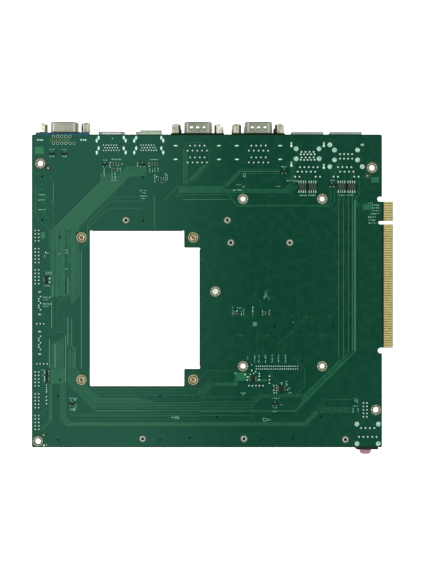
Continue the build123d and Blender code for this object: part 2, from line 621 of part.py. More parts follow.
# ---- network sockets over USB sockets ----
for number, x in enumerate(LAN_X, 1):
    face = front(x, BOARD_W + LAN_REACH, 0)
    inner_w = LAN_W - 2 * LAN_WALL - 2 * LAN_FIT
    inner_h = LAN_H - 2 * LAN_WALL - 2 * LAN_FIT
    depth = LAN_REACH + LAN_BACK
    with BuildSketch() as mouths:
        with Locations(*[(0, -z) for z in USB_Z]):
            Rectangle(USB_W, USB_H)
        with Locations((0, -JACK_Z)):
            Rectangle(JACK_W, JACK_H)
        for latch_w, latch_h in JACK_LATCH:
            with Locations((0, -JACK_Z - JACK_H / 2)):
                Rectangle(latch_w, 2 * latch_h)
    with BuildPart() as can:
        with BuildSketch(face):
            with Locations((0, -LAN_H / 2)):
                Rectangle(LAN_W, LAN_H)
        extrude(amount=depth)
        with BuildSketch(face):
            with Locations((0, -(LAN_H + LAN_COLLAR) / 2)):
                Rectangle(LAN_W + 2 * LAN_COLLAR, LAN_H + LAN_COLLAR)
        extrude(amount=LAN_COLLAR_L)
        with BuildSketch(front(x, BOARD_W + LAN_REACH - LAN_WALL, 0)):
            with Locations((0, -LAN_H / 2)):
                Rectangle(LAN_W - 2 * LAN_WALL, LAN_H - 2 * LAN_WALL)
        extrude(amount=depth - 2 * LAN_WALL, mode=Mode.SUBTRACT)
        with BuildSketch(face):
            add(mouths.sketch)
        extrude(amount=LAN_WALL, mode=Mode.SUBTRACT)
    save(can.part, f"lan_usb_{number}_can")
    with BuildPart() as insert:
        with BuildSketch(front(x, BOARD_W + LAN_REACH - LAN_WALL - LAN_FIT, 0)):
            with Locations((0, -LAN_H / 2)):
                Rectangle(inner_w, inner_h)
        extrude(amount=depth - 2 * LAN_WALL - 2 * LAN_FIT)
        with BuildSketch(face):
            with Locations(*[(0, -z) for z in USB_Z]):
                Rectangle(USB_W, USB_H)
                Rectangle(USB_TONGUE_W, USB_TONGUE_T, mode=Mode.SUBTRACT)
        extrude(amount=USB_DEPTH, mode=Mode.SUBTRACT)
        with BuildSketch(face):
            with Locations(*[(0, -z) for z in USB_Z]):
                Rectangle(USB_W, USB_H)
        extrude(amount=USB_DEPTH - USB_TONGUE_L, mode=Mode.SUBTRACT)
        with BuildSketch(face):
            with Locations((0, -JACK_Z)):
                Rectangle(JACK_W, JACK_H)
            for latch_w, latch_h in JACK_LATCH:
                with Locations((0, -JACK_Z - JACK_H / 2)):
                    Rectangle(latch_w, 2 * latch_h)
        extrude(amount=JACK_DEPTH, mode=Mode.SUBTRACT)
    save(insert.part, f"lan_usb_{number}_insert")

# ---- audio jacks ----
with BuildPart() as audio_housing:
    with BuildSketch(front(AUDIO_X, -AUDIO_REACH, 0)):
        with Locations((0, -AUDIO_H / 2)):
            Rectangle(AUDIO_W, AUDIO_H)
    extrude(amount=-(AUDIO_REACH + AUDIO_BACK))
    with BuildSketch(front(AUDIO_X, -AUDIO_REACH, 0)):
        with Locations(*[(0, -z) for z in AUDIO_Z]):
            RegularPolygon(AUDIO_BORE_R, ROUND_SIDES)
    extrude(amount=-AUDIO_BORE, mode=Mode.SUBTRACT)
save(audio_housing.part, "audio_housing")
for label, z in (("audio_barrel_pink", AUDIO_Z[0]), ("audio_barrel_green", AUDIO_Z[1])):
    with BuildPart() as barrel:
        with BuildSketch(front(AUDIO_X, -AUDIO_REACH, z)):
            Circle(AUDIO_BARREL_R)
            RegularPolygon(AUDIO_BORE_R, ROUND_SIDES, mode=Mode.SUBTRACT)
        extrude(amount=AUDIO_BARREL_REACH - AUDIO_REACH)
    save(barrel.part, label)


# ---- solder joints ----
def solder_joints(spots, foot=JOINT_FOOT, height=JOINT_H):
    """A peak of solder round each pin's end, on the solder side."""
    with BuildPart() as peak:
        with BuildSketch() as base:
            Rectangle(foot, foot)
        loft(sections=[base.face(), Vertex(0, 0, height)])
    with BuildPart() as joints:
        with Locations(*[(x, y, SOLDER_Z) for x, y in spots]):
            add(peak.part)
    return joints.part


def stakes(spots, width=STAKE_W, length=STAKE_L):
    """The ends of a shell's flat tabs, soldered in their slots."""
    with BuildPart() as tabs:
        with BuildSketch(Plane.XY.offset(SOLDER_Z)):
            with Locations(*spots):
                Rectangle(width, length)
        extrude(amount=STAKE_H)
    return tabs.part


vga_pins = []
for back, sideways, count in VGA_ROWS:
    vga_pins += row(VGA_X + sideways, BOARD_W - back, count, VGA_PIN_STEP)
save(solder_joints(vga_pins, FINE_JOINT_FOOT, FINE_JOINT_H), "vga_joints")
vga_locks = row(VGA_X, BOARD_W - VGA_LOCK_BACK, 2, D_SCREW_PITCH)
com_pins = []
com_locks = []
for x in COM_X:
    for back, count in COM_ROWS:
        com_pins += row(x, BOARD_W - back, count, D_PIN_PITCH)
    for back in COM_LOCKS_BACK:
        com_locks += row(x, BOARD_W - back, 2, D_SCREW_PITCH)
save(solder_joints(com_pins), "com_joints")
save(stakes(vga_locks + com_locks, D_LOCK_W, D_LOCK_T), "board_locks")

hdmi_pins = []
hdmi_tabs = []
for x in HDMI_X:
    for back, sideways, count in HDMI_ROWS:
        hdmi_pins += row(x + sideways, BOARD_W - back, count, HDMI_PIN_PITCH)
    for back, half in HDMI_STAKES:
        hdmi_tabs += row(x, BOARD_W - back, 2, 2 * half)
save(solder_joints(hdmi_pins, FINE_JOINT_FOOT, FINE_JOINT_H), "hdmi_joints")
save(stakes(hdmi_tabs), "hdmi_stakes")

lan_pins = []
lan_tabs = []
lan_pegs = []
for x, usb_rows, jack_rows, pegs in ((LAN_X[0], LAN3_USB_ROWS, LAN3_JACK_ROWS, LAN3_PEGS),
                                     (LAN_X[1], LAN2_USB_ROWS, LAN2_JACK_ROWS, LAN2_PEGS)):
    for back, count, pitch in usb_rows:
        lan_pins += row(x, BOARD_W - back, count, pitch)
    for back, count, pitch, sideways in jack_rows:
        lan_pins += row(x + sideways, BOARD_W - back, count, pitch)
    for back, half in LAN_SIDE_PINS:
        lan_pins += row(x, BOARD_W - back, 2, 2 * half)
    for back, half in pegs:
        lan_pegs += row(x, BOARD_W - back, 2, 2 * half)
    for back, half in LAN_TABS:
        lan_tabs += row(x, BOARD_W - back, 2, 2 * half)
save(solder_joints(lan_pins, FINE_JOINT_FOOT, FINE_JOINT_H), "lan_usb_joints")
save(stakes(lan_pegs, LAN_PEG_W, LAN_PEG_W) + stakes(lan_tabs), "lan_usb_tabs")

audio_pins = []
audio_pads = []
for y, count, pitch in AUDIO_ROWS:
    audio_pins += row(AUDIO_X, y, count, pitch)
for y, half in AUDIO_PADS:
    audio_pads += row(AUDIO_X, y, 2, 2 * half)
save(solder_joints(audio_pins), "audio_joints")
save(stakes(audio_pads, LAN_PEG_W, LAN_PEG_W), "audio_pegs")

sata_pins = []
sata_mounts = []
for x, y in SATA_SOCKETS:
    for i in range(SATA_PINS):
        shift = SATA_PIN_SHIFT if i % 3 == 0 else -SATA_PIN_SHIFT
        sata_pins.append(spot(x + shift, y + (i - (SATA_PINS - 1) / 2) * SATA_PIN_PITCH))
    sata_mounts += [spot(x, y - SATA_MOUNTS), spot(x, y + SATA_MOUNTS)]
save(solder_joints(sata_pins, FINE_JOINT_FOOT, FINE_JOINT_H), "drive_socket_joints")
save(stakes(sata_mounts, SATA_MOUNT_W, SATA_MOUNT_L), "drive_socket_mounts")
save(solder_joints(header_spots), "header_joints")
fine_x, fine_y = FINE_HEADER_C
fine_pins = []
for side in (-1, 1):
    fine_pins += row(fine_x, fine_y + side * FINE_ROWS / 2, FINE_COUNT, FINE_PITCH)
save(solder_joints(fine_pins, FINE_JOINT_FOOT, FINE_JOINT_H), "fine_header_joints")


# ---- chips on the solder side ----
def chips(places, size):
    with BuildPart() as bodies:
        with BuildSketch(Plane.XY.offset(SOLDER_Z)):
            with Locations(*[spot(*place) for place in places]):
                Rectangle(size[0], size[1])
        extrude(amount=size[2])
    return bodies.part


drivers = [(x, BOARD_W - DRIVER_BACK) for x in DRIVER_XS]
save(chips(drivers, DRIVER_SIZE), "driver_chips")
with BuildPart() as small_chips:
    with BuildSketch(Plane.XY.offset(SOLDER_Z)):
        for x, y, length, width in CHIPS:
            with Locations(spot(x, y)):
                Rectangle(length, width)
    extrude(amount=CHIP_H)
save(small_chips.part, "small_chips")
save(chips(TRIPLES, TRIPLE_SIZE), "transistors")
passive_places = [(x + i * PASSIVE_STEP, y) for x, y, count in PASSIVE_ROWS
                  for i in range(count)]
save(chips(passive_places, PASSIVE_SIZE), "resistors_and_capacitors")

with BuildPart() as driver_legs:
    foot_l = (LEG_SPAN - DRIVER_SIZE[1]) / 2
    for x, y in drivers:
        for side in (-1, 1):
            edge_y = y + side * DRIVER_SIZE[1] / 2
            for i in range(LEG_COUNT):
                leg_x = x + (i - (LEG_COUNT - 1) / 2) * LEG_PITCH
                px, py = spot(leg_x, edge_y)
                leg = Plane(origin=(px, py, SOLDER_Z), x_dir=(0, side, 0), z_dir=(side, 0, 0))
                with BuildSketch(leg):
                    with BuildLine():
                        Polyline((0, LEG_H - LEG_T), (foot_l - LEG_FOOT, 0), (foot_l, 0),
                                 (0, LEG_H), close=True)
                    make_face()
                extrude(amount=LEG_W / 2, both=True)
save(driver_legs.part, "driver_legs")
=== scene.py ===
"""Looks of a carrier evaluation board that lies with its solder side up.

Places on the board are in millimetres from its lower left corner, as a board maker gives them, and
at() turns them into metres in the shared frame. Heights are above the solder face."""

import bmesh
import bpy
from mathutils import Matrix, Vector
import numpy as np


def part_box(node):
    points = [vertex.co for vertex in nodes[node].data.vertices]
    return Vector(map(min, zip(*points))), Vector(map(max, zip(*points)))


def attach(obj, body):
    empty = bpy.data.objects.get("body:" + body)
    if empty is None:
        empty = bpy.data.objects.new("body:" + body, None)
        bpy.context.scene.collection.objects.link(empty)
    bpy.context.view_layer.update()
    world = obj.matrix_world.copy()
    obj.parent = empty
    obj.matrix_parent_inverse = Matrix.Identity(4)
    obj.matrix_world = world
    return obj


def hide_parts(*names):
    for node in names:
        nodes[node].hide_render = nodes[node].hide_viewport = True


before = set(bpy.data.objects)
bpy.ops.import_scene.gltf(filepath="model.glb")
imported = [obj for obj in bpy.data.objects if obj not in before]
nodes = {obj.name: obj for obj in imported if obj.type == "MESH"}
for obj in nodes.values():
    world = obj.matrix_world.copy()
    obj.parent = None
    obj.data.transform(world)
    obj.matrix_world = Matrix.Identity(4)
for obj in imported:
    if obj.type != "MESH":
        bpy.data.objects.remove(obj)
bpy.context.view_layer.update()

MM = 0.001
BOARD_LOW, BOARD_HIGH = (np.array(corner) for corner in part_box("board"))
SOLDER_FACE = BOARD_HIGH[2]
PART_FACE = BOARD_LOW[2]
BOARD_T = (SOLDER_FACE - PART_FACE) / MM
ORIGIN = np.array([BOARD_LOW[0], BOARD_LOW[1], SOLDER_FACE])
BOX_CORNERS, PEAK_CORNERS = 24, 16  # mesh corners of one small solid
CARD_STANDOFF_CORNERS, MODULE_STANDOFF_CORNERS = 120, 314
rng = np.random.default_rng(7)


def at(x, y, z=0.0):
    """Board millimetres to metres in the frame, for numbers or whole arrays."""
    x, y, z = np.broadcast_arrays(np.asarray(x, float), y, z)
    return ORIGIN + np.stack([x, y, z], -1) * MM


def all_at(places):
    """A list of (x, y) or (x, y, z) board places as points in metres."""
    return at(*np.array(places, float).T)


def in_mm(points):
    """Metres in the frame to board millimetres."""
    return (points - ORIGIN) / MM


def mm_box(node):
    """A node's box as board millimetres: lowest corner, highest corner."""
    return in_mm(np.array([list(corner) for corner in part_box(node)]))


# ---------------------------------------------------------------- shader maths
class Value:
    """A shader socket that takes part in Python arithmetic by adding Math nodes."""

    def __init__(self, shade, socket):
        self.shade, self.socket = shade, socket

    def math(self, operation, *others):
        """Adds a Math node whose first input is this value."""
        return self.shade.node("ShaderNodeMath", {"operation": operation},
                               dict(enumerate((self, *others))))

    def __add__(self, other):
        return self.math("ADD", other)

    def __mul__(self, other):
        return self.math("MULTIPLY", other)

    def __sub__(self, other):
        return self.math("SUBTRACT", other)

    def __rsub__(self, other):
        return (self * -1.0) + other

    __radd__ = __add__
    __rmul__ = __mul__

    def sine(self):
        return self.math("SINE")

    def step(self, low, high):
        """Rises smoothly from 0 to 1 as the value goes from low to high."""
        return self.shade.node("ShaderNodeMapRange", {"interpolation_type": "SMOOTHSTEP"},
                               {"Value": self, "From Min": low, "From Max": high})


class Shade:
    """A material in the making: its nodes, and the Principled shader that they feed."""

    def __init__(self, name, **steady):
        self.material = bpy.data.materials.new(name)
        self.material.use_nodes = True
        self.tree = self.material.node_tree
        self.shader = self.tree.nodes["Principled BSDF"]
        for socket, value in steady.items():
            self.shader.inputs[socket.replace("_", " ")].default_value = value
        self.place = self.node("ShaderNodeTexCoord", out="Object")

    def node(self, kind, settings=None, inputs=None, out=0):
        """Adds a node with its settings and inputs, and gives one of its outputs."""
        made = self.tree.nodes.new(kind)
        for name, value in (settings or {}).items():
            setattr(made, name, value)
        for key, value in (inputs or {}).items():
            self.feed(made.inputs[key], value)
        return Value(self, made.outputs[out])

    def feed(self, socket, value):
        """Links a value to a socket, or writes a number into it."""
        if isinstance(value, Value):
            self.tree.links.new(value.socket, socket)
        else:
            socket.default_value = value

    def set(self, **sockets):
        """Feeds the surface's sockets, named with underscores for their spaces."""
        for socket, value in sockets.items():
            self.feed(self.shader.inputs[socket.replace("_", " ")], value)

    def noise(self, scale, detail=3.0, rough=0.55):
        """Cloudy noise whose blobs are about 1 / scale metres across."""
        return self.node("ShaderNodeTexNoise", None,
                         {"Vector": self.place, "Scale": scale, "Detail": detail,
                          "Roughness": rough})

    def axis(self, letter):
        """The place along one axis, in metres."""
        return self.node("ShaderNodeSeparateXYZ", None, {"Vector": self.place}, letter)

    def facing(self, letter):
        """The surface normal's share along one axis."""
        normal = self.node("ShaderNodeNewGeometry", out="Normal")
        return self.node("ShaderNodeSeparateXYZ", None, {"Vector": normal}, letter)

    def mix(self, factor, low, high):
        """One colour where the factor is 0, another where it is 1."""
        made = self.tree.nodes.new("ShaderNodeMix")
        made.data_type = "RGBA"
        for index, value in ((0, factor), (6, low), (7, high)):
            if not isinstance(value, Value) and index:
                value = (*value, 1.0)
            self.feed(made.inputs[index], value)
        return Value(self, made.outputs[2])

    def bump(self, height, distance, strength):
        """Fine relief: a height of 1 stands for the distance in metres."""
        made = self.node("ShaderNodeBump", None,
                         {"Height": height, "Distance": distance, "Strength": strength})
        self.set(Normal=made)


def painted_reflection(shade):
    """How much painted reflection pales the mask: 1 at the board's left, 0 past its middle, and a
    little at the right and the bottom."""
    x, y = shade.axis("X"), shade.axis("Y")
    return ((1.0 - x.step(-0.059, 0.031)) * 0.9 + x.step(0.050, 0.085) * 0.07
            + (1.0 - y.step(-0.085, -0.045)) * 0.10 + shade.noise(14.0, 2.0) * 0.10)


def board_mask():
    """Green solder mask over copper and glass cloth, with pale glass at the cut edges."""
    shade = Shade("green solder mask", Specular_IOR_Level=0.055)
    # Paler towards the board's left: a painted reflection.
    body = shade.mix(painted_reflection(shade), (0.0004, 0.0385, 0.0188), (0.0150, 0.082, 0.051))
    cloud = shade.noise(230.0, 3.0, 0.6)
    body = shade.mix(cloud.step(0.40, 0.70) * 0.20, body, (0.020, 0.105, 0.050))
    grain = shade.noise(900.0, 4.0, 0.7)
    body = shade.mix(grain.step(0.42, 0.66) * 0.30, body, (0.004, 0.064, 0.042))
    threads, plies = 9000.0, 16000.0  # radians a metre: one wave in 0.7 mm and in 0.4 mm
    weave = (shade.axis("X") * threads).sine() * (shade.axis("Y") * threads).sine()
    up = shade.facing("Z")
    flat = (up * up).step(0.3, 0.7)
    layers = (shade.axis("Z") * plies).sine().step(-0.2, 0.9)
    glass = shade.mix(layers * 0.5 + grain * 0.4, (0.20, 0.22, 0.075), (0.36, 0.36, 0.17))
    shade.set(Base_Color=shade.mix(flat, glass, body), Roughness=0.66 - flat * 0.24 + grain * 0.06)
    shade.bump(grain * 0.4 + weave * 0.3, 0.00003, 0.35)
    return shade.material


def copper(name, dark, light):
    """Copper that shows through the mask, paler where the mask has its painted reflection, with a fine
    mottle.
    """
    shade = Shade(name, Specular_IOR_Level=0.06)
    mottle = shade.noise(420.0, 3.0)
    # Paler along with the mask's painted reflection.
    body = shade.mix(painted_reflection(shade), dark, light)
    shade.set(Base_Color=shade.mix(mottle.step(0.35, 0.7) * 0.22, body, (0.045, 0.175, 0.085)),
              Roughness=mottle * 0.10 + 0.38)
    shade.bump(shade.noise(2500.0, 2.0), 0.00001, 0.3)
    return shade.material


def ink(name, dark, light, roughness, scale=700.0, **steady):
    """Anything coloured and dull: two tones that drift into each other, and a fine tooth."""
    shade = Shade(name, **steady)
    tone = shade.noise(scale, 3.0)
    shade.set(Base_Color=shade.mix(tone.step(0.3, 0.7), dark, light),
              Roughness=tone * 0.12 + (roughness - 0.06))
    shade.bump(shade.noise(scale * 5.0, 2.0), 0.00001, 0.3)
    return shade.material


def metal(name, dark, light, roughness, lines=0.0, scale=500.0, metallic=1.0, sides=0.0):
    """Plated metal: cloudy tone and fine lines along its rolling direction. Faces that look along the
    board's long side get painted shade, darker by the share that sides gives."""
    shade = Shade(name, Metallic=metallic)
    cloud = shade.noise(scale, 4.0)
    stretch = shade.node("ShaderNodeMapping", None,
                         {"Vector": shade.place, "Scale": (9000.0, 400.0, 2500.0)})
    streak = shade.node("ShaderNodeTexNoise", None, {"Vector": stretch, "Scale": 1.0})
    tone = cloud * 0.7 + streak * 0.3
    body = shade.mix(tone.step(0.3, 0.72), dark, light)
    # Painted shade: faces that look along the board's long side turn dark by the share in sides.
    if sides:
        along = shade.facing("X")
        body = shade.mix((along * along).step(0.45, 0.95) * sides, body, (0.03, 0.033, 0.026))
    shade.set(Base_Color=body,
              Roughness=cloud * 0.25 + streak * lines + (roughness - 0.12))
    shade.bump(streak * lines + cloud * 0.3, 0.00002, 0.4)
    return shade.material


MASK = board_mask()
COPPER = {"dark": copper("gap beside copper", (0.0003, 0.026, 0.009), (0.0050, 0.046, 0.024)),
          "faint": copper("deep copper under mask", (0.0040, 0.062, 0.030), (0.021, 0.100, 0.062)),
          "plain": copper("copper under mask", (0.0080, 0.085, 0.040), (0.0310, 0.130, 0.072)),
          "bright": copper("copper edge under mask", (0.030, 0.148, 0.082), (0.085, 0.230, 0.160)),
          "patch": copper("broad copper under mask", (0.0170, 0.125, 0.056), (0.034, 0.175, 0.082))}
COPPER["fill"] = COPPER["faint"]
SILK = ink("white print", (0.21, 0.48, 0.37), (0.36, 0.70, 0.57), 0.6, Specular_IOR_Level=0.2)
BROWN_RING = ink("copper brown ring", (0.050, 0.034, 0.014), (0.095, 0.070, 0.034), 0.5,
                 Specular_IOR_Level=0.1)
# HALO: dark olive for painted shade along the board's edges, round the holes and standoffs and below
# the serial lock tabs; it also fills the gaps round the card standoffs.
HALO = ink("olive halo", (0.005, 0.018, 0.007), (0.012, 0.030, 0.012), 0.5, Specular_IOR_Level=0.05)
HOLE = ink("dark hole", (0.0008, 0.0060, 0.0030), (0.0020, 0.014, 0.0075), 0.8,
           Specular_IOR_Level=0.05)
BLACK_HOLE = ink("black bore", (0.0010, 0.0010, 0.0008), (0.0030, 0.0030, 0.0022), 0.8,
                 Specular_IOR_Level=0.03)
SOLDER = metal("bright solder", (0.40, 0.64, 0.54), (0.60, 0.88, 0.77), 0.34, 0.05, 1500.0, 0.30)
PEG_SOLDER = metal("dull solder over a shield peg", (0.13, 0.29, 0.21), (0.62, 0.90, 0.78), 0.40,
                   0.05, 1700.0, 0.20)
GOLD = metal("gold plate", (0.43, 0.37, 0.13), (0.66, 0.58, 0.26), 0.36, 0.08, 900.0, 0.7)
CREAM_PAD = metal("tinned copper pad", (0.34, 0.33, 0.23), (0.60, 0.58, 0.44), 0.38, 0.05, 1800.0,
                  0.30)
RING_PAD = metal("greenish tinned ring", (0.075, 0.105, 0.068), (0.17, 0.21, 0.14), 0.40, 0.05,
                 1800.0, 0.25)
CLOUDED = ink("clouded mask round a ring", (0.018, 0.057, 0.026), (0.034, 0.080, 0.044), 0.5,
              Specular_IOR_Level=0.05)
OLIVE = ink("bare laminate between contacts", (0.012, 0.009, 0.001), (0.028, 0.021, 0.003), 0.5,
            Specular_IOR_Level=0.05)
BEVEL = ink("bevelled laminate", (0.26, 0.23, 0.12), (0.36, 0.33, 0.20), 0.55)
GREY_PAD = metal("dull tinned pad", (0.17, 0.30, 0.23), (0.34, 0.52, 0.43), 0.4, 0.05, 900.0, 0.3)
YELLOW_PAD = metal("brassy pad", (0.10, 0.165, 0.055), (0.18, 0.26, 0.10), 0.4, 0.05, 900.0, 0.2)
BRASS = metal("turned brass", (0.50, 0.40, 0.20), (0.78, 0.68, 0.42), 0.34, 0.10, 900.0, 0.6)
# sides: the share of painted shade on faces that look along the board's long side.
NICKEL = metal("nickel on sheet steel", (0.235, 0.240, 0.190), (0.300, 0.305, 0.245), 0.36, 0.12,
               sides=0.5)
GREY_NICKEL = metal("nickel beside the board", (0.165, 0.235, 0.205), (0.235, 0.31, 0.265), 0.40,
                    0.12, sides=0.6)
CAN = metal("tinned sheet of a can", (0.33, 0.37, 0.34), (0.44, 0.48, 0.445), 0.38, 0.12)
DULL_NICKEL = metal("nickel on the serial shells", (0.170, 0.195, 0.148), (0.225, 0.252, 0.195),
                    0.36, 0.12, sides=0.5)
DARK_NICKEL = metal("shaded bend of nickel", (0.030, 0.036, 0.030), (0.060, 0.066, 0.056), 0.45)
STEEL = metal("nickel on turned steel", (0.22, 0.22, 0.17), (0.54, 0.53, 0.44), 0.30, 0.10,
              sides=0.25)
TIN = metal("tinned steel", (0.38, 0.53, 0.45), (0.58, 0.76, 0.66), 0.36, 0.08, 700.0, 0.4)
BLACK = ink("black moulded plastic", (0.003, 0.004, 0.003), (0.008, 0.010, 0.008), 0.5,
            Specular_IOR_Level=0.2)
EPOXY = ink("chip epoxy", (0.018, 0.036, 0.027), (0.044, 0.066, 0.052), 0.55, 1600.0,
            Specular_IOR_Level=0.1)
DARK_EPOXY = ink("dark chip epoxy", (0.002, 0.012, 0.006), (0.010, 0.030, 0.017), 0.55, 1600.0,
                 Specular_IOR_Level=0.1)
RIM_BLUE = ink("blue plastic rim", (0.005, 0.056, 0.086), (0.014, 0.088, 0.128), 0.45,
               Specular_IOR_Level=0.2)
BLUE = ink("blue moulded plastic", (0.006, 0.050, 0.110), (0.014, 0.085, 0.160), 0.40,
           Specular_IOR_Level=0.2)
PINK = ink("pink moulded plastic", (0.38, 0.17, 0.22), (0.49, 0.26, 0.32), 0.42)
LIME = ink("lime moulded plastic", (0.22, 0.46, 0.10), (0.32, 0.58, 0.17), 0.42)
IVORY = ink("ivory moulded plastic", (0.58, 0.52, 0.38), (0.70, 0.64, 0.50), 0.5)
CERAMIC = ink("brown ceramic", (0.016, 0.026, 0.014), (0.050, 0.058, 0.036), 0.5, 1600.0,
              Specular_IOR_Level=0.2)
DIM_PAD = metal("oxidised tinned end", (0.10, 0.18, 0.135), (0.26, 0.38, 0.30), 0.45, 0.05, 1500.0,
                0.2)


# ---------------------------------------------------------------- mesh makers
def joined(parts):
    """Several (points, faces) made one."""
    points, faces, base = [], [], 0
    for some_points, some_faces in parts:
        some_points = np.reshape(some_points, (-1, 3))
        points.append(some_points)
        faces += [np.asarray(block) + base for block in some_faces]
        base += len(some_points)
    return np.concatenate(points), faces


def put(name, data):
    """A new object of the scene."""
    thing = bpy.data.objects.new(name, data)
    bpy.context.scene.collection.objects.link(thing)
    return thing


def make(name, parts, material, slot, hides=(), bevel=0.0, smooth=False, closed=True):
    """Puts points and faces into one mesh object that rides on the board."""
    points, faces = joined(parts)
    mesh = bpy.data.meshes.new(name)
    mesh.from_pydata(points.tolist(), [], [face for block in faces for face in block.tolist()])
    if closed:
        shell = bmesh.new()
        shell.from_mesh(mesh)
        bmesh.ops.remove_doubles(shell, verts=shell.verts, dist=1e-6)
        bmesh.ops.recalc_face_normals(shell, faces=shell.faces)
        shell.to_mesh(mesh)
        shell.free()
    mesh.materials.append(material)
    piece = put(name, mesh)
    if smooth:
        mesh.shade_smooth()
        mesh.set_sharp_from_angle(angle=0.7)
    if bevel:
        rounder = piece.modifiers.new("rounded edges", "BEVEL")
        rounder.width = bevel * MM
        rounder.segments = 2
        rounder.limit_method = "ANGLE"
    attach(piece, "root")
    if hides:
        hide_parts(*hides)


def turned(centres, profile, sides, axis=2):
    """A profile of (radius, distance) pairs in mm, carried once round an axis at each centre.

    Point (i, k, j) is centre i, plus d_k along the axis, plus r_k cos a_j and r_k sin a_j along the
    other two, with a_j = 2 pi j / sides. A radius of 0 at an end closes the shape."""
    radii, along = np.array(profile, float).T * MM
    angle = np.arange(sides) * 2 * np.pi / sides
    centres = np.atleast_2d(centres)
    points = np.empty((len(centres), len(radii), sides, 3))
    first, second = [i for i in range(3) if i != axis]
    points[..., first] = centres[:, first, None, None] + radii[None, :, None] * np.cos(angle)
    points[..., second] = centres[:, second, None, None] + radii[None, :, None] * np.sin(angle)
    points[..., axis] = centres[:, axis, None, None] + along[None, :, None]
    return points, grid_faces(len(centres), len(radii), sides)


def rounded(corner, radius, steps):
    """A closed outline with arcs at its corners, and the outward direction at each of its points.

    An arc starts radius * tan(turn / 2) before its corner. Its arm, from the arc's centre to its
    start, turns evenly through the corner's turning angle."""
    corner = np.asarray(corner, float)
    before = corner - np.roll(corner, 1, 0)
    before /= np.linalg.norm(before, axis=1)[:, None]
    after = np.roll(before, -1, 0)
    turn = np.arctan2(before[:, 0] * after[:, 1] - before[:, 1] * after[:, 0],
                      (before * after).sum(1))
    start = corner - before * (radius * np.tan(np.abs(turn) / 2))[:, None]
    inward = np.stack([-before[:, 1], before[:, 0]], -1) * np.sign(turn)[:, None]
    angle = turn[:, None] * np.linspace(0, 1, steps)
    x, z = -inward[:, :1], -inward[:, 1:]
    arm = np.stack([x * np.cos(angle) - z * np.sin(angle), x * np.sin(angle) + z * np.cos(angle)],
                   -1)
    outline = (start + inward * radius)[:, None] + arm * radius
    return outline.reshape(-1, 2), arm.reshape(-1, 2)


def loft(outline, outward, steps, x, z):
    """A wall that faces the board's long edges: at each (inset, y) step the outline moves that
    far inwards along its outward directions. The last step joins the first."""
    inset, y = np.array([*steps, steps[0]], float).T
    flat = outline[None] - outward[None] * inset[:, None, None]
    points = at(x + flat[..., 0], np.broadcast_to(y[:, None], flat.shape[:2]), z + flat[..., 1])
    return points, grid_faces(1, len(inset), len(outline))


def grid_faces(copies, rows, sides, closed=True):
    """Quads of a grid of rows and sides, repeated for each copy, and wrapped round if closed."""
    j = np.arange(sides if closed else sides - 1)
    k = np.arange(rows - 1)[:, None]
    here = k * sides + j
    right = k * sides + (j + 1) % sides
    quad = np.stack([here, right, right + sides, here + sides], -1).reshape(-1, 4)
    return [(quad[None] + (np.arange(copies) * rows * sides)[:, None, None]).reshape(-1, 4)]


def boxes(low, high):
    """Upright boxes between arrays of lowest and highest corners."""
    low, high = np.atleast_2d(low), np.atleast_2d(high)
    pick = np.array([[0, 0, 0], [1, 0, 0], [1, 1, 0], [0, 1, 0],
                     [0, 0, 1], [1, 0, 1], [1, 1, 1], [0, 1, 1]])
    points = low[:, None] + (high - low)[:, None] * pick[None]
    quad = np.array([[3, 2, 1, 0], [4, 5, 6, 7], [0, 1, 5, 4], [1, 2, 6, 5], [2, 3, 7, 6],
                     [3, 0, 4, 7]])
    faces = (quad[None] + (np.arange(len(low)) * 8)[:, None, None]).reshape(-1, 4)
    return points, [faces]


def strip(path, width, lift):
    """A flat ribbon along a path: each point moves half a width to both sides, mitred."""
    path = np.asarray(path, float)
    step = np.diff(path, axis=0)
    step /= np.linalg.norm(step, axis=1)[:, None]
    before = np.vstack([step[:1], step])
    after = np.vstack([step, step[-1:]])
    middle = before + after
    middle /= np.linalg.norm(middle, axis=1)[:, None]
    across = np.stack([-middle[:, 1], middle[:, 0]], -1)
    reach = width / 2 / np.maximum(0.4, (middle * after).sum(1))[:, None]
    sides = np.stack([path - across * reach, path + across * reach], 1)
    points = at(sides[..., 0], sides[..., 1], lift)
    return points, grid_faces(1, len(path), 2, closed=False)


def fan(count, width, first, last, lift):
    """Ribbons spaced evenly between two edge paths that have the same number of points."""
    first, last = np.asarray(first, float), np.asarray(last, float)
    return [strip(first * (1 - share) + last * share, width, lift + NEIGHBOUR_LIFT * (k % 5))
            for k, share in enumerate(np.linspace(0, 1, count))]


def corners(node, count=BOX_CORNERS):
    """The lowest and highest corners of each small solid of a node, count mesh corners each."""
    mesh = nodes[node].data
    points = np.empty(len(mesh.vertices) * 3)
    mesh.vertices.foreach_get("co", points)
    points = points.reshape(-1, count, 3)
    return points.min(1), points.max(1)


# ---------------------------------------------------------------- tracks on the solder face
def line(width, *points):
    """One track as a bundle of one."""
    return 1, width, list(points), list(points)


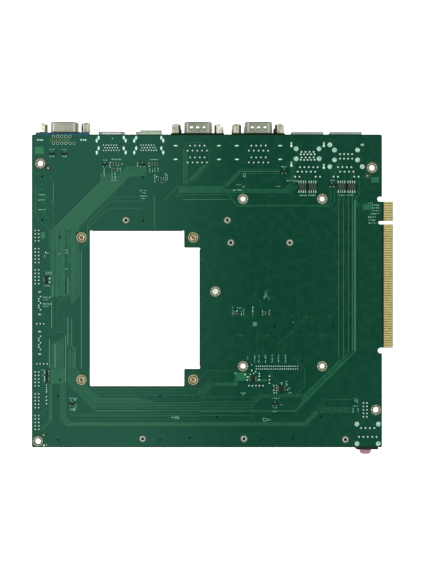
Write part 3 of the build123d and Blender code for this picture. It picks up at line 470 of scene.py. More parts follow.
TRACKS = {  # by how they show: count, width, the first one's path, the last one's path
    "plain": [
        (8, 0.52, [(40.1, 158.0), (40.1, 153.3), (13.6, 126.8), (13.6, 125.6)],
         [(45.4, 158.0), (45.4, 152.0), (20.2, 126.8), (20.2, 125.0)]),
        (8, 0.52, [(66.0, 161.9), (54.9, 161.9), (20.9, 127.9), (20.9, 125.0)],
         [(66.0, 156.6), (56.4, 156.6), (27.0, 127.2), (27.0, 124.0)]),
        line(0.40, (10.9, 126.0), (10.9, 96.0)), line(0.70, (12.3, 127.0), (12.3, 94.0)),
        (2, 0.60, [(14.2, 126.0), (14.2, 86.0)], [(15.0, 126.0), (15.0, 86.0)]),
        line(0.5, (16.4, 119.0), (16.4, 88.0)), line(0.35, (21.3, 126.0), (21.3, 98.0)),
        (3, 0.70, [(17.2, 126.0), (17.2, 88.0)], [(18.8, 126.0), (18.8, 87.4)]),
        (4, 0.55, [(22.7, 125.0), (22.7, 84.0)], [(25.0, 125.0), (25.0, 85.6)]),
        (2, 0.40, [(26.2, 122.0), (26.2, 86.5), (22.6, 82.9)],
         [(27.5, 113.0), (27.5, 87.4), (23.2, 83.1)]),
        line(0.5, (20.7, 88.6), (17.4, 85.3), (15.2, 83.1)),
        line(0.34, (11.4, 69.0), (13.6, 66.9), (18.4, 66.2), (19.4, 64.8)),
        line(0.34, (64.5, 142.0), (45.0, 142.0), (32.1, 129.1), (32.1, 118.7), (28.6, 113.4)),
        line(0.34, (61.0, 144.5), (46.1, 144.5), (44.4, 142.8)),
        line(0.34, (63.0, 136.8), (61.9, 137.9), (43.9, 137.9), (32.1, 126.1)),
        line(0.80, (70.0, 145.2), (70.8, 143.4), (70.8, 126.0)),
        line(0.34, (11.1, 155.6), (12.4, 153.0), (12.4, 127.0)),
        line(0.34, (6.3, 145.3), (9.0, 144.2), (12.2, 140.2)),
        line(0.34, (5.5, 141.6), (12.4, 134.7)), line(0.34, (4.4, 137.0), (10.9, 130.5)),
        line(0.38, (7.2, 148.6), (2.5, 148.6), (2.5, 132.9), (9.9, 125.5), (9.9, 116.0)),
        line(0.30, (1.9, 152.0), (1.9, 135.0)),
        (6, 0.62, [(12.0, 60.0), (12.0, 45.0)], [(18.2, 63.2), (18.2, 45.0)]),
        (8, 0.85, [(11.4, 45.0), (11.4, 36.7)], [(18.4, 45.0), (18.4, 36.7)]),
        (2, 0.75, [(10.4, 36.6), (10.4, 15.7)], [(11.3, 36.6), (11.3, 15.2)]),
        (4, 0.52, [(16.6, 36.6), (16.6, 16.2), (20.2, 12.5), (157.9, 12.5), (165.2, 19.8)],
         [(19.4, 46.0), (19.4, 17.4), (22.0, 14.4), (157.1, 14.4), (163.6, 20.9)]),
        line(0.34, (165.2, 19.8), (165.6, 20.2), (185.0, 20.2)),
        line(0.34, (164.4, 20.4), (166.8, 22.8), (185.0, 22.8)),
        line(0.34, (163.6, 20.9), (170.2, 27.5), (185.0, 27.5)),
        (4, 0.55, [(21.2, 57.0), (21.2, 36.6), (36.6, 21.2), (97.0, 21.2)],
         [(24.4, 55.0), (24.4, 38.4), (37.2, 25.6), (97.0, 25.6)]),
        (3, 0.55, [(25.4, 46.0), (25.4, 38.6), (37.4, 26.6), (70.0, 26.6)],
         [(27.4, 44.0), (27.4, 39.4), (38.4, 28.4), (62.0, 28.4)]),
        (2, 0.52, [(97.0, 20.7), (152.3, 20.7), (186.6, 55.0), (186.6, 143.6), (188.8, 145.8),
                   (188.8, 154.4)],
         [(97.0, 21.4), (152.0, 21.4), (185.0, 54.4), (185.0, 146.0), (185.0, 146.2),
          (185.0, 147.0)]),
        (3, 0.42, [(97.0, 22.8), (126.6, 22.8), (132.8, 29.0), (157.4, 29.0), (182.6, 54.2),
                   (182.6, 146.0)],
         [(97.0, 26.2), (127.4, 26.2), (131.6, 30.4), (157.6, 30.6), (176.9, 49.9),
          (176.9, 146.0)]),
        (2, 0.36, [(153.4, 23.6), (182.0, 52.2)], [(155.4, 27.0), (179.6, 51.2)]),
        line(0.30, (97.0, 29.1), (130.3, 29.1), (131.5, 30.4), (135.0, 30.4)),
        line(0.30, (21.8, 20.2), (23.4, 18.4), (126.0, 18.4), (128.0, 17.4)),
        line(0.34, (9.2, 22.9), (5.4, 19.1)), line(0.34, (10.4, 15.7), (5.2, 10.5)),
        line(0.34, (11.2, 15.2), (6.4, 10.4)), line(0.34, (97.7, 40.5), (101.4, 44.2), (118.0, 44.2)),
        (4, 0.42, [(95.2, 31.2), (101.6, 37.6), (103.0, 38.8)],
         [(98.4, 29.4), (104.4, 35.4), (106.4, 36.0)]),
        (3, 0.55, [(105.5, 37.1), (117.3, 37.1), (117.3, 40.0)],
         [(106.2, 35.9), (118.7, 35.9), (118.7, 40.0)]),
        line(0.50, (76.4, 143.0), (83.9, 150.4), (110.6, 150.4)),
        (4, 0.62, [(84.6, 149.6), (111.4, 149.6)], [(84.6, 147.2), (114.0, 147.2)]),
        (3, 0.60, [(112.0, 148.7), (145.8, 148.7), (149.2, 152.0)],
         [(114.0, 147.1), (147.6, 147.1), (151.2, 150.6)]),
        line(0.34, (110.5, 151.0), (119.8, 160.3), (143.0, 160.4)),
        line(0.34, (112.7, 150.3), (120.9, 157.9), (143.0, 157.9)),
        (2, 0.42, [(85.2, 145.8), (113.2, 145.8), (119.4, 139.7), (171.0, 139.7), (172.4, 141.2),
                   (172.4, 151.0)],
         [(87.0, 143.0), (115.0, 143.0), (118.8, 139.1), (171.8, 139.1), (174.7, 142.0),
          (174.7, 151.0)]),
        (2, 0.40, [(172.6, 156.0), (172.6, 158.6), (178.0, 164.0)],
         [(174.2, 156.0), (174.2, 157.6), (179.5, 163.0)]),
        (3, 0.62, [(87.5, 152.2), (87.5, 172.0)], [(89.5, 151.8), (89.5, 171.6)]),
        line(0.40, (88.3, 172.8), (90.8, 175.8), (98.2, 175.8), (102.6, 171.4), (102.6, 165.4),
             (91.4, 154.2), (91.4, 151.4)),
        (3, 0.52, [(90.2, 154.0), (98.8, 162.6)], [(92.6, 153.2), (102.0, 162.6)]),
        line(0.36, (150.5, 52.2), (157.4, 45.3), (157.4, 35.2), (153.4, 31.2)),
        (2, 0.24, [(158.6, 74.6), (146.4, 62.4), (146.4, 53.7)],
         [(158.0, 75.4), (142.3, 59.7), (142.3, 53.7)]),
        line(0.24, (145.3, 61.4), (145.3, 53.7)), line(0.30, (129.8, 67.7), (129.8, 53.7)),
        line(0.40, (158.2, 77.0), (158.8, 74.4)), line(0.34, (128.0, 88.1), (132.0, 84.1)),
        line(0.30, (193.2, 16.7), (197.3, 12.6)), line(0.30, (191.2, 16.9), (191.2, 12.6)),
        line(0.30, (198.6, 12.6), (198.6, 7.0)), line(0.24, (123.7, 156.4), (123.5, 151.6)),
        (3, 0.34, [(147.2, 146.8), (152.2, 151.8)], [(149.4, 146.2), (153.4, 150.2)]),
        line(0.24, (157.5, 157.6), (157.5, 153.7)), line(0.24, (160.6, 157.6), (160.6, 153.7)),
        line(0.24, (180.2, 158.6), (180.2, 153.7)), line(0.24, (184.4, 158.6), (184.4, 153.7)),
        line(0.22, (137.0, 43.0), (145.0, 35.0)), line(0.30, (128.0, 39.0), (136.0, 39.0)),
        line(0.50, (186.6, 140.4), (196.4, 140.4)), line(0.50, (186.9, 139.0), (191.4, 139.0)),
    ],
    "fill": [
        (12, 1.50, [(11.4, 126.0), (11.4, 87.0)], [(26.6, 123.0), (26.6, 87.0)]),
        (10, 0.90, [(42.0, 157.0), (42.0, 153.6), (15.4, 127.2), (15.4, 125.8)],
         [(60.0, 157.0), (56.0, 157.0), (26.4, 127.4), (26.4, 124.0)]),
        (5, 1.40, [(11.4, 60.0), (11.4, 37.0)], [(18.4, 62.0), (18.4, 37.0)]),
    ],
    "faint": [
        (4, 0.36, [(14.4, 82.4), (14.4, 66.0)], [(19.2, 76.6), (19.2, 66.2)]),
        (2, 0.34, [(14.0, 80.6), (20.4, 75.4)], [(15.6, 82.0), (21.0, 77.0)]),
        line(0.40, (22.0, 82.6), (22.0, 75.0)), line(0.24, (39.8, 167.0), (39.8, 158.0)),
        (3, 0.62, [(36.0, 30.2), (97.0, 30.2)], [(36.0, 33.8), (97.0, 33.8)]),
        (3, 0.40, [(24.0, 15.7), (97.0, 15.7)], [(24.0, 19.5), (97.0, 19.5)]),
        (3, 0.34, [(82.2, 147.2), (82.2, 145.4), (84.5, 143.1)],
         [(84.6, 146.6), (84.6, 145.6), (86.4, 144.2)]),
        (2, 0.60, [(22.0, 66.0), (22.0, 46.0)], [(23.8, 57.0), (23.8, 46.0)]),
        (3, 0.60, [(166.4, 20.9), (184.6, 20.9)], [(166.8, 22.2), (184.6, 22.2)]),
        (4, 0.50, [(149.6, 152.0), (149.6, 165.3), (155.6, 171.4)],
         [(151.6, 152.0), (151.6, 163.5), (157.6, 169.6)]),
        line(0.30, (127.6, 75.6), (127.6, 67.0)), line(0.26, (132.6, 83.6), (132.6, 81.0)),
        line(0.30, (122.5, 75.4), (130.0, 75.4)), line(0.24, (139.9, 56.0), (139.9, 53.6)),
        (3, 0.70, [(153.4, 22.4), (183.6, 52.6)], [(156.8, 28.6), (178.6, 50.4)]),
        (3, 0.60, [(177.8, 145.0), (177.8, 139.0)], [(187.6, 145.4), (187.6, 139.0)]),
    ],
    "bright": [
        line(0.50, (12.0, 93.6), (12.0, 86.4)), line(0.55, (20.8, 97.6), (20.8, 88.6)),
        line(0.55, (11.4, 84.2), (11.4, 69.0)), line(0.55, (19.5, 64.6), (19.5, 38.0)),
        line(0.55, (10.2, 62.6), (10.2, 46.0)), line(0.38, (28.6, 112.6), (28.6, 45.4)),
        line(0.50, (20.8, 75.0), (20.8, 58.6)), line(0.34, (23.0, 74.0), (23.0, 58.4), (25.0, 56.4),
                                                     (25.0, 46.5)),
        line(0.60, (13.5, 59.6), (13.5, 46.0)), line(0.30, (12.4, 152.6), (12.4, 141.0)),
        line(1.15, (186.4, 142.6), (186.4, 55.6)), line(0.30, (184.9, 140.0), (184.9, 55.6)),
        line(0.20, (179.7, 140.0), (179.7, 53.0)), line(0.20, (176.9, 140.0), (176.9, 52.0)),
        line(0.24, (40.0, 158.0), (40.0, 153.2), (13.4, 126.6), (13.4, 125.6)),
        line(0.16, (182.6, 140.0), (182.6, 54.6)), line(0.46, (111.6, 150.6), (120.1, 159.1),
                                                      (143.0, 159.1)),
        line(0.22, (37.0, 21.0), (66.0, 21.0)), line(0.30, (87.0, 143.0), (112.0, 143.0)),
    ],
    "dark": [
        line(0.50, (10.6, 84.0), (10.6, 69.4)), line(0.45, (18.8, 64.0), (18.8, 46.0)),
        line(0.90, (19.8, 98.0), (19.8, 88.4)), line(0.35, (13.9, 113.0), (13.9, 98.0)),
        line(0.45, (19.5, 122.0), (19.5, 99.0)), line(0.50, (21.9, 106.0), (21.9, 96.0)),
        line(0.40, (11.1, 62.0), (11.1, 48.0)), line(0.60, (36.0, 22.0), (97.0, 22.0)),
        line(0.50, (24.0, 15.0), (97.0, 15.0)), line(0.50, (24.0, 17.5), (97.0, 17.5)),
        line(0.50, (176.1, 144.0), (176.1, 52.0)), line(0.60, (181.5, 144.0), (181.5, 54.0)),
        line(0.60, (183.8, 144.0), (183.8, 55.2)), line(0.60, (187.7, 138.0), (187.7, 57.0)),
        line(0.50, (178.3, 144.0), (178.3, 53.4)), line(0.50, (97.0, 19.6), (150.0, 19.6)),
        line(0.40, (85.0, 146.4), (112.6, 146.4)), line(0.50, (123.0, 158.5), (142.6, 158.5)),
    ],
}
PATCHES = [  # broad copper: lowest corner, highest corner
    ((1.7, 169.2), (6.8, 173.3)), ((195.7, 152.7), (200.3, 155.9)), ((117.4, 38.5), (124.0, 43.2)),
    ((126.8, 38.2), (135.6, 38.9)), ((5.2, 120.6), (7.7, 124.0)), ((191.2, 137.0), (196.5, 140.0)),
]
DASHES = [(x, 64.5) for x in (119.2, 120.4, 121.2, 124.8, 128.0, 131.2, 135.2, 136.4, 152.9, 155.8,
                              159.0, 161.9, 167.3, 169.8)]
DASHES += [(x, 75.3) for x in (150.2, 153.9, 157.0, 160.0, 161.2, 163.0, 171.8, 172.8)]
LIFTS = {"fill": 0.005, "dark": 0.012, "faint": 0.019, "plain": 0.026, "bright": 0.034}
BUNDLE_LIFT, NEIGHBOUR_LIFT = 0.0006, 0.0001  # between bundles, and between tracks of one


def tracks(kind):
    """Flat ribbons of one kind of copper, each bundle spread between its two edge tracks. Bundles
    lie a little above each other, so that no two of them share a plane."""
    return [ribbon for index, bundle in enumerate(TRACKS[kind])
            for ribbon in fan(*bundle, LIFTS[kind] + BUNDLE_LIFT * (index % 11))]


def copper_under_mask():
    """Every kind of track, the broad patches and the short dashes."""
    for kind in TRACKS:
        make(f"copper_{kind}", tracks(kind), COPPER[kind], "green_board", closed=False)
    low, high = np.array(PATCHES).transpose(1, 2, 0)
    make("copper_patches", [boxes(at(*low, 0.0), at(*high, 0.03))], COPPER["patch"], "green_board")
    dash = np.array(DASHES)
    make("copper_dashes", [boxes(at(*(dash - 0.35).T, 0.0), at(*(dash + 0.35).T, 0.02))],
         COPPER["plain"], "green_board")


copper_under_mask()
EDGES = {  # lines of shade along the board's edges: width, path
    "top_and_right": [(0.5, (33.0, 180.2), (201.4, 180.2)), (0.5, (0.6, 180.2), (2.4, 180.2)),
                      (0.6, (201.65, 180.0), (201.65, 146.0)),
                      (0.4, (201.75, 54.0), (201.75, 0.6)), (0.5, (97.0, 46.4), (97.0, 114.0)),
                      (0.5, (35.0, 125.0), (87.0, 125.0))],
    "bottom_and_window": [(0.45, (0.7, 0.25), (201.4, 0.25)), (0.5, (35.0, 35.0), (87.0, 35.0)),
                          (0.9, (202.3, 60.0), (202.3, 128.0)), (0.9, (202.3, 131.0), (202.3, 140.0)),
                          (0.5, (33.2, 46.0), (33.2, 115.0))],
}
for place, lines in EDGES.items():
    make(f"edge_shade_{place}", [strip(path, width, 0.01) for width, *path in lines], HALO,
         "green_board", closed=False)

# ---------------------------------------------------------------- solder joints
JOINTS = {"audio_joints": 0.62, "com_joints": 0.60, "drive_socket_joints": 0.50,
          "header_joints": 0.56, "hdmi_joints": 0.46, "lan_usb_joints": 0.60,
          "fine_header_joints": 0.40}  # radius of each joint's foot
DOME = [(0.0, 0.0), (1.0, 0.0), (0.97, 0.18), (0.84, 0.50), (0.58, 0.82), (0.30, 0.96),
        (0.0, 1.0)]
TAB_DOME = [(0.0, 0.0), (1.0, 0.0), (0.96, 0.16), (0.74, 0.40), (0.40, 0.52), (0.0, 0.55)]
PAD_DOME = [(0.0, 0.0), (1.36, 0.0), (1.36, 0.05), (1.22, 0.16), (1.00, 0.34), (0.80, 0.38),
            (0.56, 0.30), (0.46, 0.22), (0.0, 0.20)]


def flat_ring(inner, outer, thick=0.05):
    """The profile of a thin ring with a softened top, closed on itself."""
    soft = min(0.08, (outer - inner) / 4)
    return [(inner, 0.0), (outer, 0.0), (outer, thick * 0.6), (outer - soft, thick),
            (inner + soft, thick), (inner, thick * 0.6), (inner, 0.0)]


def disc(radius, thick=0.010, low=0.0):
    """The profile of a flat disc."""
    return [(0.0, low), (radius, low), (radius, low + thick), (0.0, low + thick)]


def middles(node, count=BOX_CORNERS):
    """The middle of each small solid of a node, at the solder face."""
    low, high = corners(node, count)
    centre = (low + high) / 2
    centre[:, 2] = SOLDER_FACE
    return centre


def stretched(shape, centres, axis, factor):
    """Round shapes made oval: their offsets from their centres grow along one axis."""
    points, faces = shape
    middle = centres[:, None, None, axis]
    points[..., axis] = middle + (points[..., axis] - middle) * factor
    return points, faces


def ovals(places, radius, height, axis, factor, sides=14):
    """Low domes of solder over flat tabs: round ones stretched along one axis."""
    return stretched(turned(places, np.array(TAB_DOME) * (radius, height), sides), places, axis,
                     factor)


def pin_solder():
    """A wetted cone round every pin, in an opening of the mask."""
    openings = []
    for node, radius in JOINTS.items():
        low, high = corners(node, PEAK_CORNERS)
        height = (high - low)[:, 2].mean() / MM
        places = middles(node, PEAK_CORNERS)
        openings.append(turned(places, disc(radius + (0.22 if radius > 0.5 else 0.12)), 12))
        make(node.replace("_joints", "_solder"),
             [turned(places, np.array(DOME) * (radius, height), 10)], SOLDER, "solder", [node],
             smooth=True)
    make("mask_openings", openings, HOLE, "green_board")


def stake_solder():
    """Ovals over the stakes of the digital video shells and the disk sockets' mounting tabs."""
    make("hdmi_tab_solder", [ovals(middles("hdmi_stakes"), 0.67, 0.9, 1, 1.92, 16)], SOLDER,
         "solder", ["hdmi_stakes"], smooth=True)
    make("disk_mount_solder", [ovals(middles("drive_socket_mounts"), 0.52, 0.9, 0, 1.75)],
         PEG_SOLDER, "solder", ["drive_socket_mounts"], smooth=True)


def shield_solder():
    """Pitted craters over the pegs of the network cans and of the audio stack, two lobes over each
    slim tab, and the one pad that is almost bare."""
    tabs = middles("lan_usb_tabs")
    low, high = corners("lan_usb_tabs")
    slim = ((high - low)[:, 0] <= 1.3 * MM) & (tabs[:, 0] < tabs[:, 0].mean())
    pegs = np.concatenate([tabs[~slim], middles("audio_pegs")])
    bare = np.abs(pegs - at(190.6, 174.5)).sum(1) < 1.5 * MM
    domed = pegs[~bare]
    make("shield_peg_solder", [turned(domed, PAD_DOME, 20)], PEG_SOLDER, "solder",
         ["lan_usb_tabs", "audio_pegs"], smooth=True)
    five = (len(domed), 5)
    pits = domed[:, None] + np.stack([rng.uniform(-0.85, 0.85, five),
                                      rng.uniform(-0.85, 0.85, five), np.full(five, 0.33)], -1) * MM
    make("shield_peg_pits", [turned(pits.reshape(-1, 3), disc(0.20, 0.05), 8)], DIM_PAD, "solder")
    make("bare_peg_pad", [ovals(pegs[bare], 0.7, 0.3, 0, 1.5)], GREY_PAD, "solder", smooth=True)
    longer = np.abs(tabs[slim] - at(149.75, 161.7)).sum(1) < 2 * MM
    tall = tabs[slim] + np.where(longer, 1.5, 0.2)[:, None] * np.array([0, MM, 0])
    for name, finish, move, size in (("near", SOLDER, -0.75, 0.72), ("far", PEG_SOLDER, 0.75, 0.60)):
        lobes = tall + np.array([0, move * MM, 0])
        make(f"shield_tab_solder_{name}", [ovals(lobes, size, 0.8, 1, 1.25)], finish, "solder",
             smooth=True)


def lock_solder():
    """Ovals over the serial stacks' lock tabs, and three beads over each of the video socket's."""
    locks = middles("board_locks")
    beads = locks[:, 0] < at(40.0, 0.0)[0]
    blobs = locks[beads][:, None] + np.array([[-1.3, 0.05, 0], [0.1, 0.0, 0], [1.3, -0.05, 0]]) * MM
    make("lock_tab_solder", [ovals(locks[~beads], 0.46, 0.7, 0, 2.7)], SOLDER, "solder",
         ["board_locks"], smooth=True)
    make("video_lock_solder", [turned(blobs.reshape(-1, 3), np.array(TAB_DOME) * (0.56, 0.6), 14)],
         PEG_SOLDER, "solder", smooth=True)
    # A painted shadow below each serial lock tab.
    make("lock_tab_shade", [turned(locks[~beads] + np.array([0, -0.75, 0.0]) * MM, disc(0.34), 10)],
         HALO, "green_board")


def video_pads():
    """Open rings round the video socket's pins, brassy in the middle row, and the pins' ends."""
    pins = middles("vga_joints", PEAK_CORNERS)
    rows = np.round((BOARD_HIGH[1] - pins[:, 1]) / MM)
    yellow = np.abs(rows - np.median(rows)) < 0.6
    for name, chosen, inner, finish, gap in (("vga_pads", ~yellow, 0.60, GREY_PAD, HOLE),
                                             ("vga_middle_pads", yellow, 0.68, YELLOW_PAD,
                                              COPPER["faint"])):
        make(name, [turned(pins[chosen], flat_ring(inner, 0.84), 20)], finish, "solder",
             ["vga_joints"] if finish is GREY_PAD else [])
        make(f"{name}_gaps", [turned(pins[chosen], flat_ring(0.18, inner, 0.03), 16)], gap,
             "solder")
    make("vga_pin_ends", [turned(pins, [(0.0, 0.0), (0.18, 0.0), (0.15, 0.12), (0.0, 0.16)], 8)],
         HOLE, "solder", smooth=True)


pin_solder()
stake_solder()
shield_solder()
lock_solder()
video_pads()

# ---------------------------------------------------------------- pads, print and peg holes
CORNER_HOLES = [(4.9, 163.8), (3.5, 3.5), (196.3, 161.3), (198.5, 21.6)]
COOLER_HOLES = [(121.85, 46.8), (167.55, 46.8), (121.85, 143.3), (167.55, 143.3)]
LONE_HOLE = (105.9, 89.9)
PEG_HOLES = [(5.9, 156.1), (5.9, 130.9), (64.1, 155.9), (64.4, 130.7), (16.2, 121.3), (15.2, 29.6),
             (74.0, 29.6), (15.2, 4.3), (74.0, 4.3), (91.1, 5.5), (106.8, 17.5), (16.4, 39.0),
             (139.9, 70.0), (173.8, 70.0), (166.6, 17.5), (132.7, 4.5), (150.5, 5.2)]
FIDUCIALS = [(9.4, 161.0), (6.8, 7.1), (193.6, 156.6)]


CARD_STANDOFFS = middles("card_standoffs", CARD_STANDOFF_CORNERS)
MODULE_STANDOFFS = middles("module_standoffs", MODULE_STANDOFF_CORNERS)


def ringed_holes():
    """Rings round the holes: a plated land, a brown gap, a green ring with a bright rim and eight
    vias, and a line of shade. Two corner holes, the module standoffs and the target marks also
    have a clouded ring."""
    corner, cooler = all_at(CORNER_HOLES), all_at(COOLER_HOLES)
    every = np.concatenate([corner, cooler, all_at([LONE_HOLE])])
    angle = np.arange(8) * np.pi / 4
    wheel = np.stack([np.cos(angle), np.sin(angle), angle * 0], -1) * 2.46 * MM
    vias = (every[:, None] + wheel).reshape(-1, 3)
    make("hole_pads", [turned(corner, flat_ring(1.60, 1.74, 0.07), 32),
                       turned(cooler, flat_ring(1.42, 1.74, 0.07), 32),
                       turned(every, flat_ring(2.76, 2.9, 0.06), 32),
                       turned(vias, disc(0.28, 0.07), 10)], CREAM_PAD, "gold_contacts")
    make("hole_gap_rings", [turned(every, flat_ring(1.74, 2.08, 0.03), 32)], BROWN_RING,
         "green_board")
    make("hole_outer_rings", [turned(every, flat_ring(2.08, 2.9), 32)], RING_PAD, "gold_contacts")
    make("hole_shade_rings", [turned(np.concatenate([every, MODULE_STANDOFFS]),
                                     flat_ring(2.9, 3.26, 0.03), 32),
                              turned(CARD_STANDOFFS, flat_ring(2.10, 2.4, 0.03), 32)],
         HALO, "green_board")
    make("clouded_rings", [turned(np.concatenate([corner[[0, 2]], MODULE_STANDOFFS]),
                                  flat_ring(3.26, 4.0, 0.02), 32),
                           turned(all_at(FIDUCIALS), flat_ring(0.36, 1.9, 0.02), 24)],
         CLOUDED, "green_board")


def module_standoff_tops():
    """The four brass ends round the window: a plated ring, a gap, a domed end and its thread."""
    make("module_standoff_pads", [turned(MODULE_STANDOFFS, flat_ring(2.44, 2.9, 0.06), 32)],
         metal("plated ring of a standoff", (0.27, 0.29, 0.16), (0.48, 0.50, 0.31), 0.38, 0.05,
               1800.0, 0.3), "gold_contacts")
    make("module_standoff_gaps", [turned(MODULE_STANDOFFS, flat_ring(1.88, 2.44, 0.03), 32)],
         ink("olive gap round a standoff", (0.022, 0.022, 0.005), (0.055, 0.050, 0.016), 0.5,
             Specular_IOR_Level=0.05), "gold_contacts")
    make("module_standoff_ends",
         [turned(MODULE_STANDOFFS, [(1.10, -0.4), (1.10, -0.02), (1.30, 0.10), (1.76, 0.12),
                                    (1.88, 0.02), (1.88, -0.4), (1.10, -0.4)], 32)],
         metal("brass end of a standoff", (0.09, 0.07, 0.022), (0.78, 0.70, 0.47), 0.34, 0.05,
               1100.0, 0.3), "brass_standoffs", smooth=True)
    thread = [(1.14 - 0.12 * (k % 2), -1.0 + 0.14 * k) for k in range(7)]
    make("module_standoff_threads",
         [turned(MODULE_STANDOFFS, [(0.0, -1.2), *thread, (0.0, -0.12)], 20)],
         ink("shaded thread", (0.012, 0.006, 0.0005), (0.34, 0.23, 0.07), 0.4, 1500.0,
             Specular_IOR_Level=0.1), "brass_standoffs")


def card_standoff_tops():
    """The seven small steel ends: a flange with five nicks, a gap, a tinned ring and a bore."""
    make("card_standoff_flanges",
         [turned(CARD_STANDOFFS, [(0.70, -0.2), (0.74, 0.04), (0.90, 0.12), (1.46, 0.10),
                                  (1.54, 0.03), (1.54, -0.2), (0.70, -0.2)], 28)],
         metal("tinned standoff flange", (0.16, 0.23, 0.18), (0.62, 0.70, 0.60), 0.38, 0.05,
               1500.0, 0.3), "steel_standoffs", smooth=True)
    make("card_standoff_gaps", [turned(CARD_STANDOFFS, flat_ring(1.54, 1.74, 0.03), 28)], HALO,
         "green_board")
    make("card_standoff_pads", [turned(CARD_STANDOFFS, flat_ring(1.74, 2.10, 0.05), 28)], RING_PAD,
         "solder")
    angle = np.array([0.3, 1.5, 2.9, 4.1, 5.3])
    nicks = np.stack([np.cos(angle), np.sin(angle), angle * 0], -1) * 1.22 * MM
    make("card_standoff_nicks", [turned((CARD_STANDOFFS[:, None] + nicks).reshape(-1, 3),
                                        disc(0.15, 0.14), 8)], BROWN_RING, "steel_standoffs")
    make("card_standoff_bores", [turned(CARD_STANDOFFS, disc(0.90, 0.13, -0.02), 16)], BLACK_HOLE,
         "steel_standoffs")


def small_holes():
    """Dark holes of the sockets' pegs, the plated lone hole and the target marks."""
    make("peg_holes", [turned(all_at(PEG_HOLES), disc(0.60, 0.03), 14)], HOLE,
         "black_plastic")
    make("lone_hole_plug", [turned(all_at([LONE_HOLE]), disc(1.74, 0.04), 32),
                            turned(all_at(FIDUCIALS), disc(0.36, 0.05), 16)],
         metal("plated hole and mark", (0.52, 0.58, 0.47), (0.72, 0.76, 0.65), 0.4, 0.05, 1500.0,
               0.25), "solder")


ringed_holes()
module_standoff_tops()
card_standoff_tops()
small_holes()

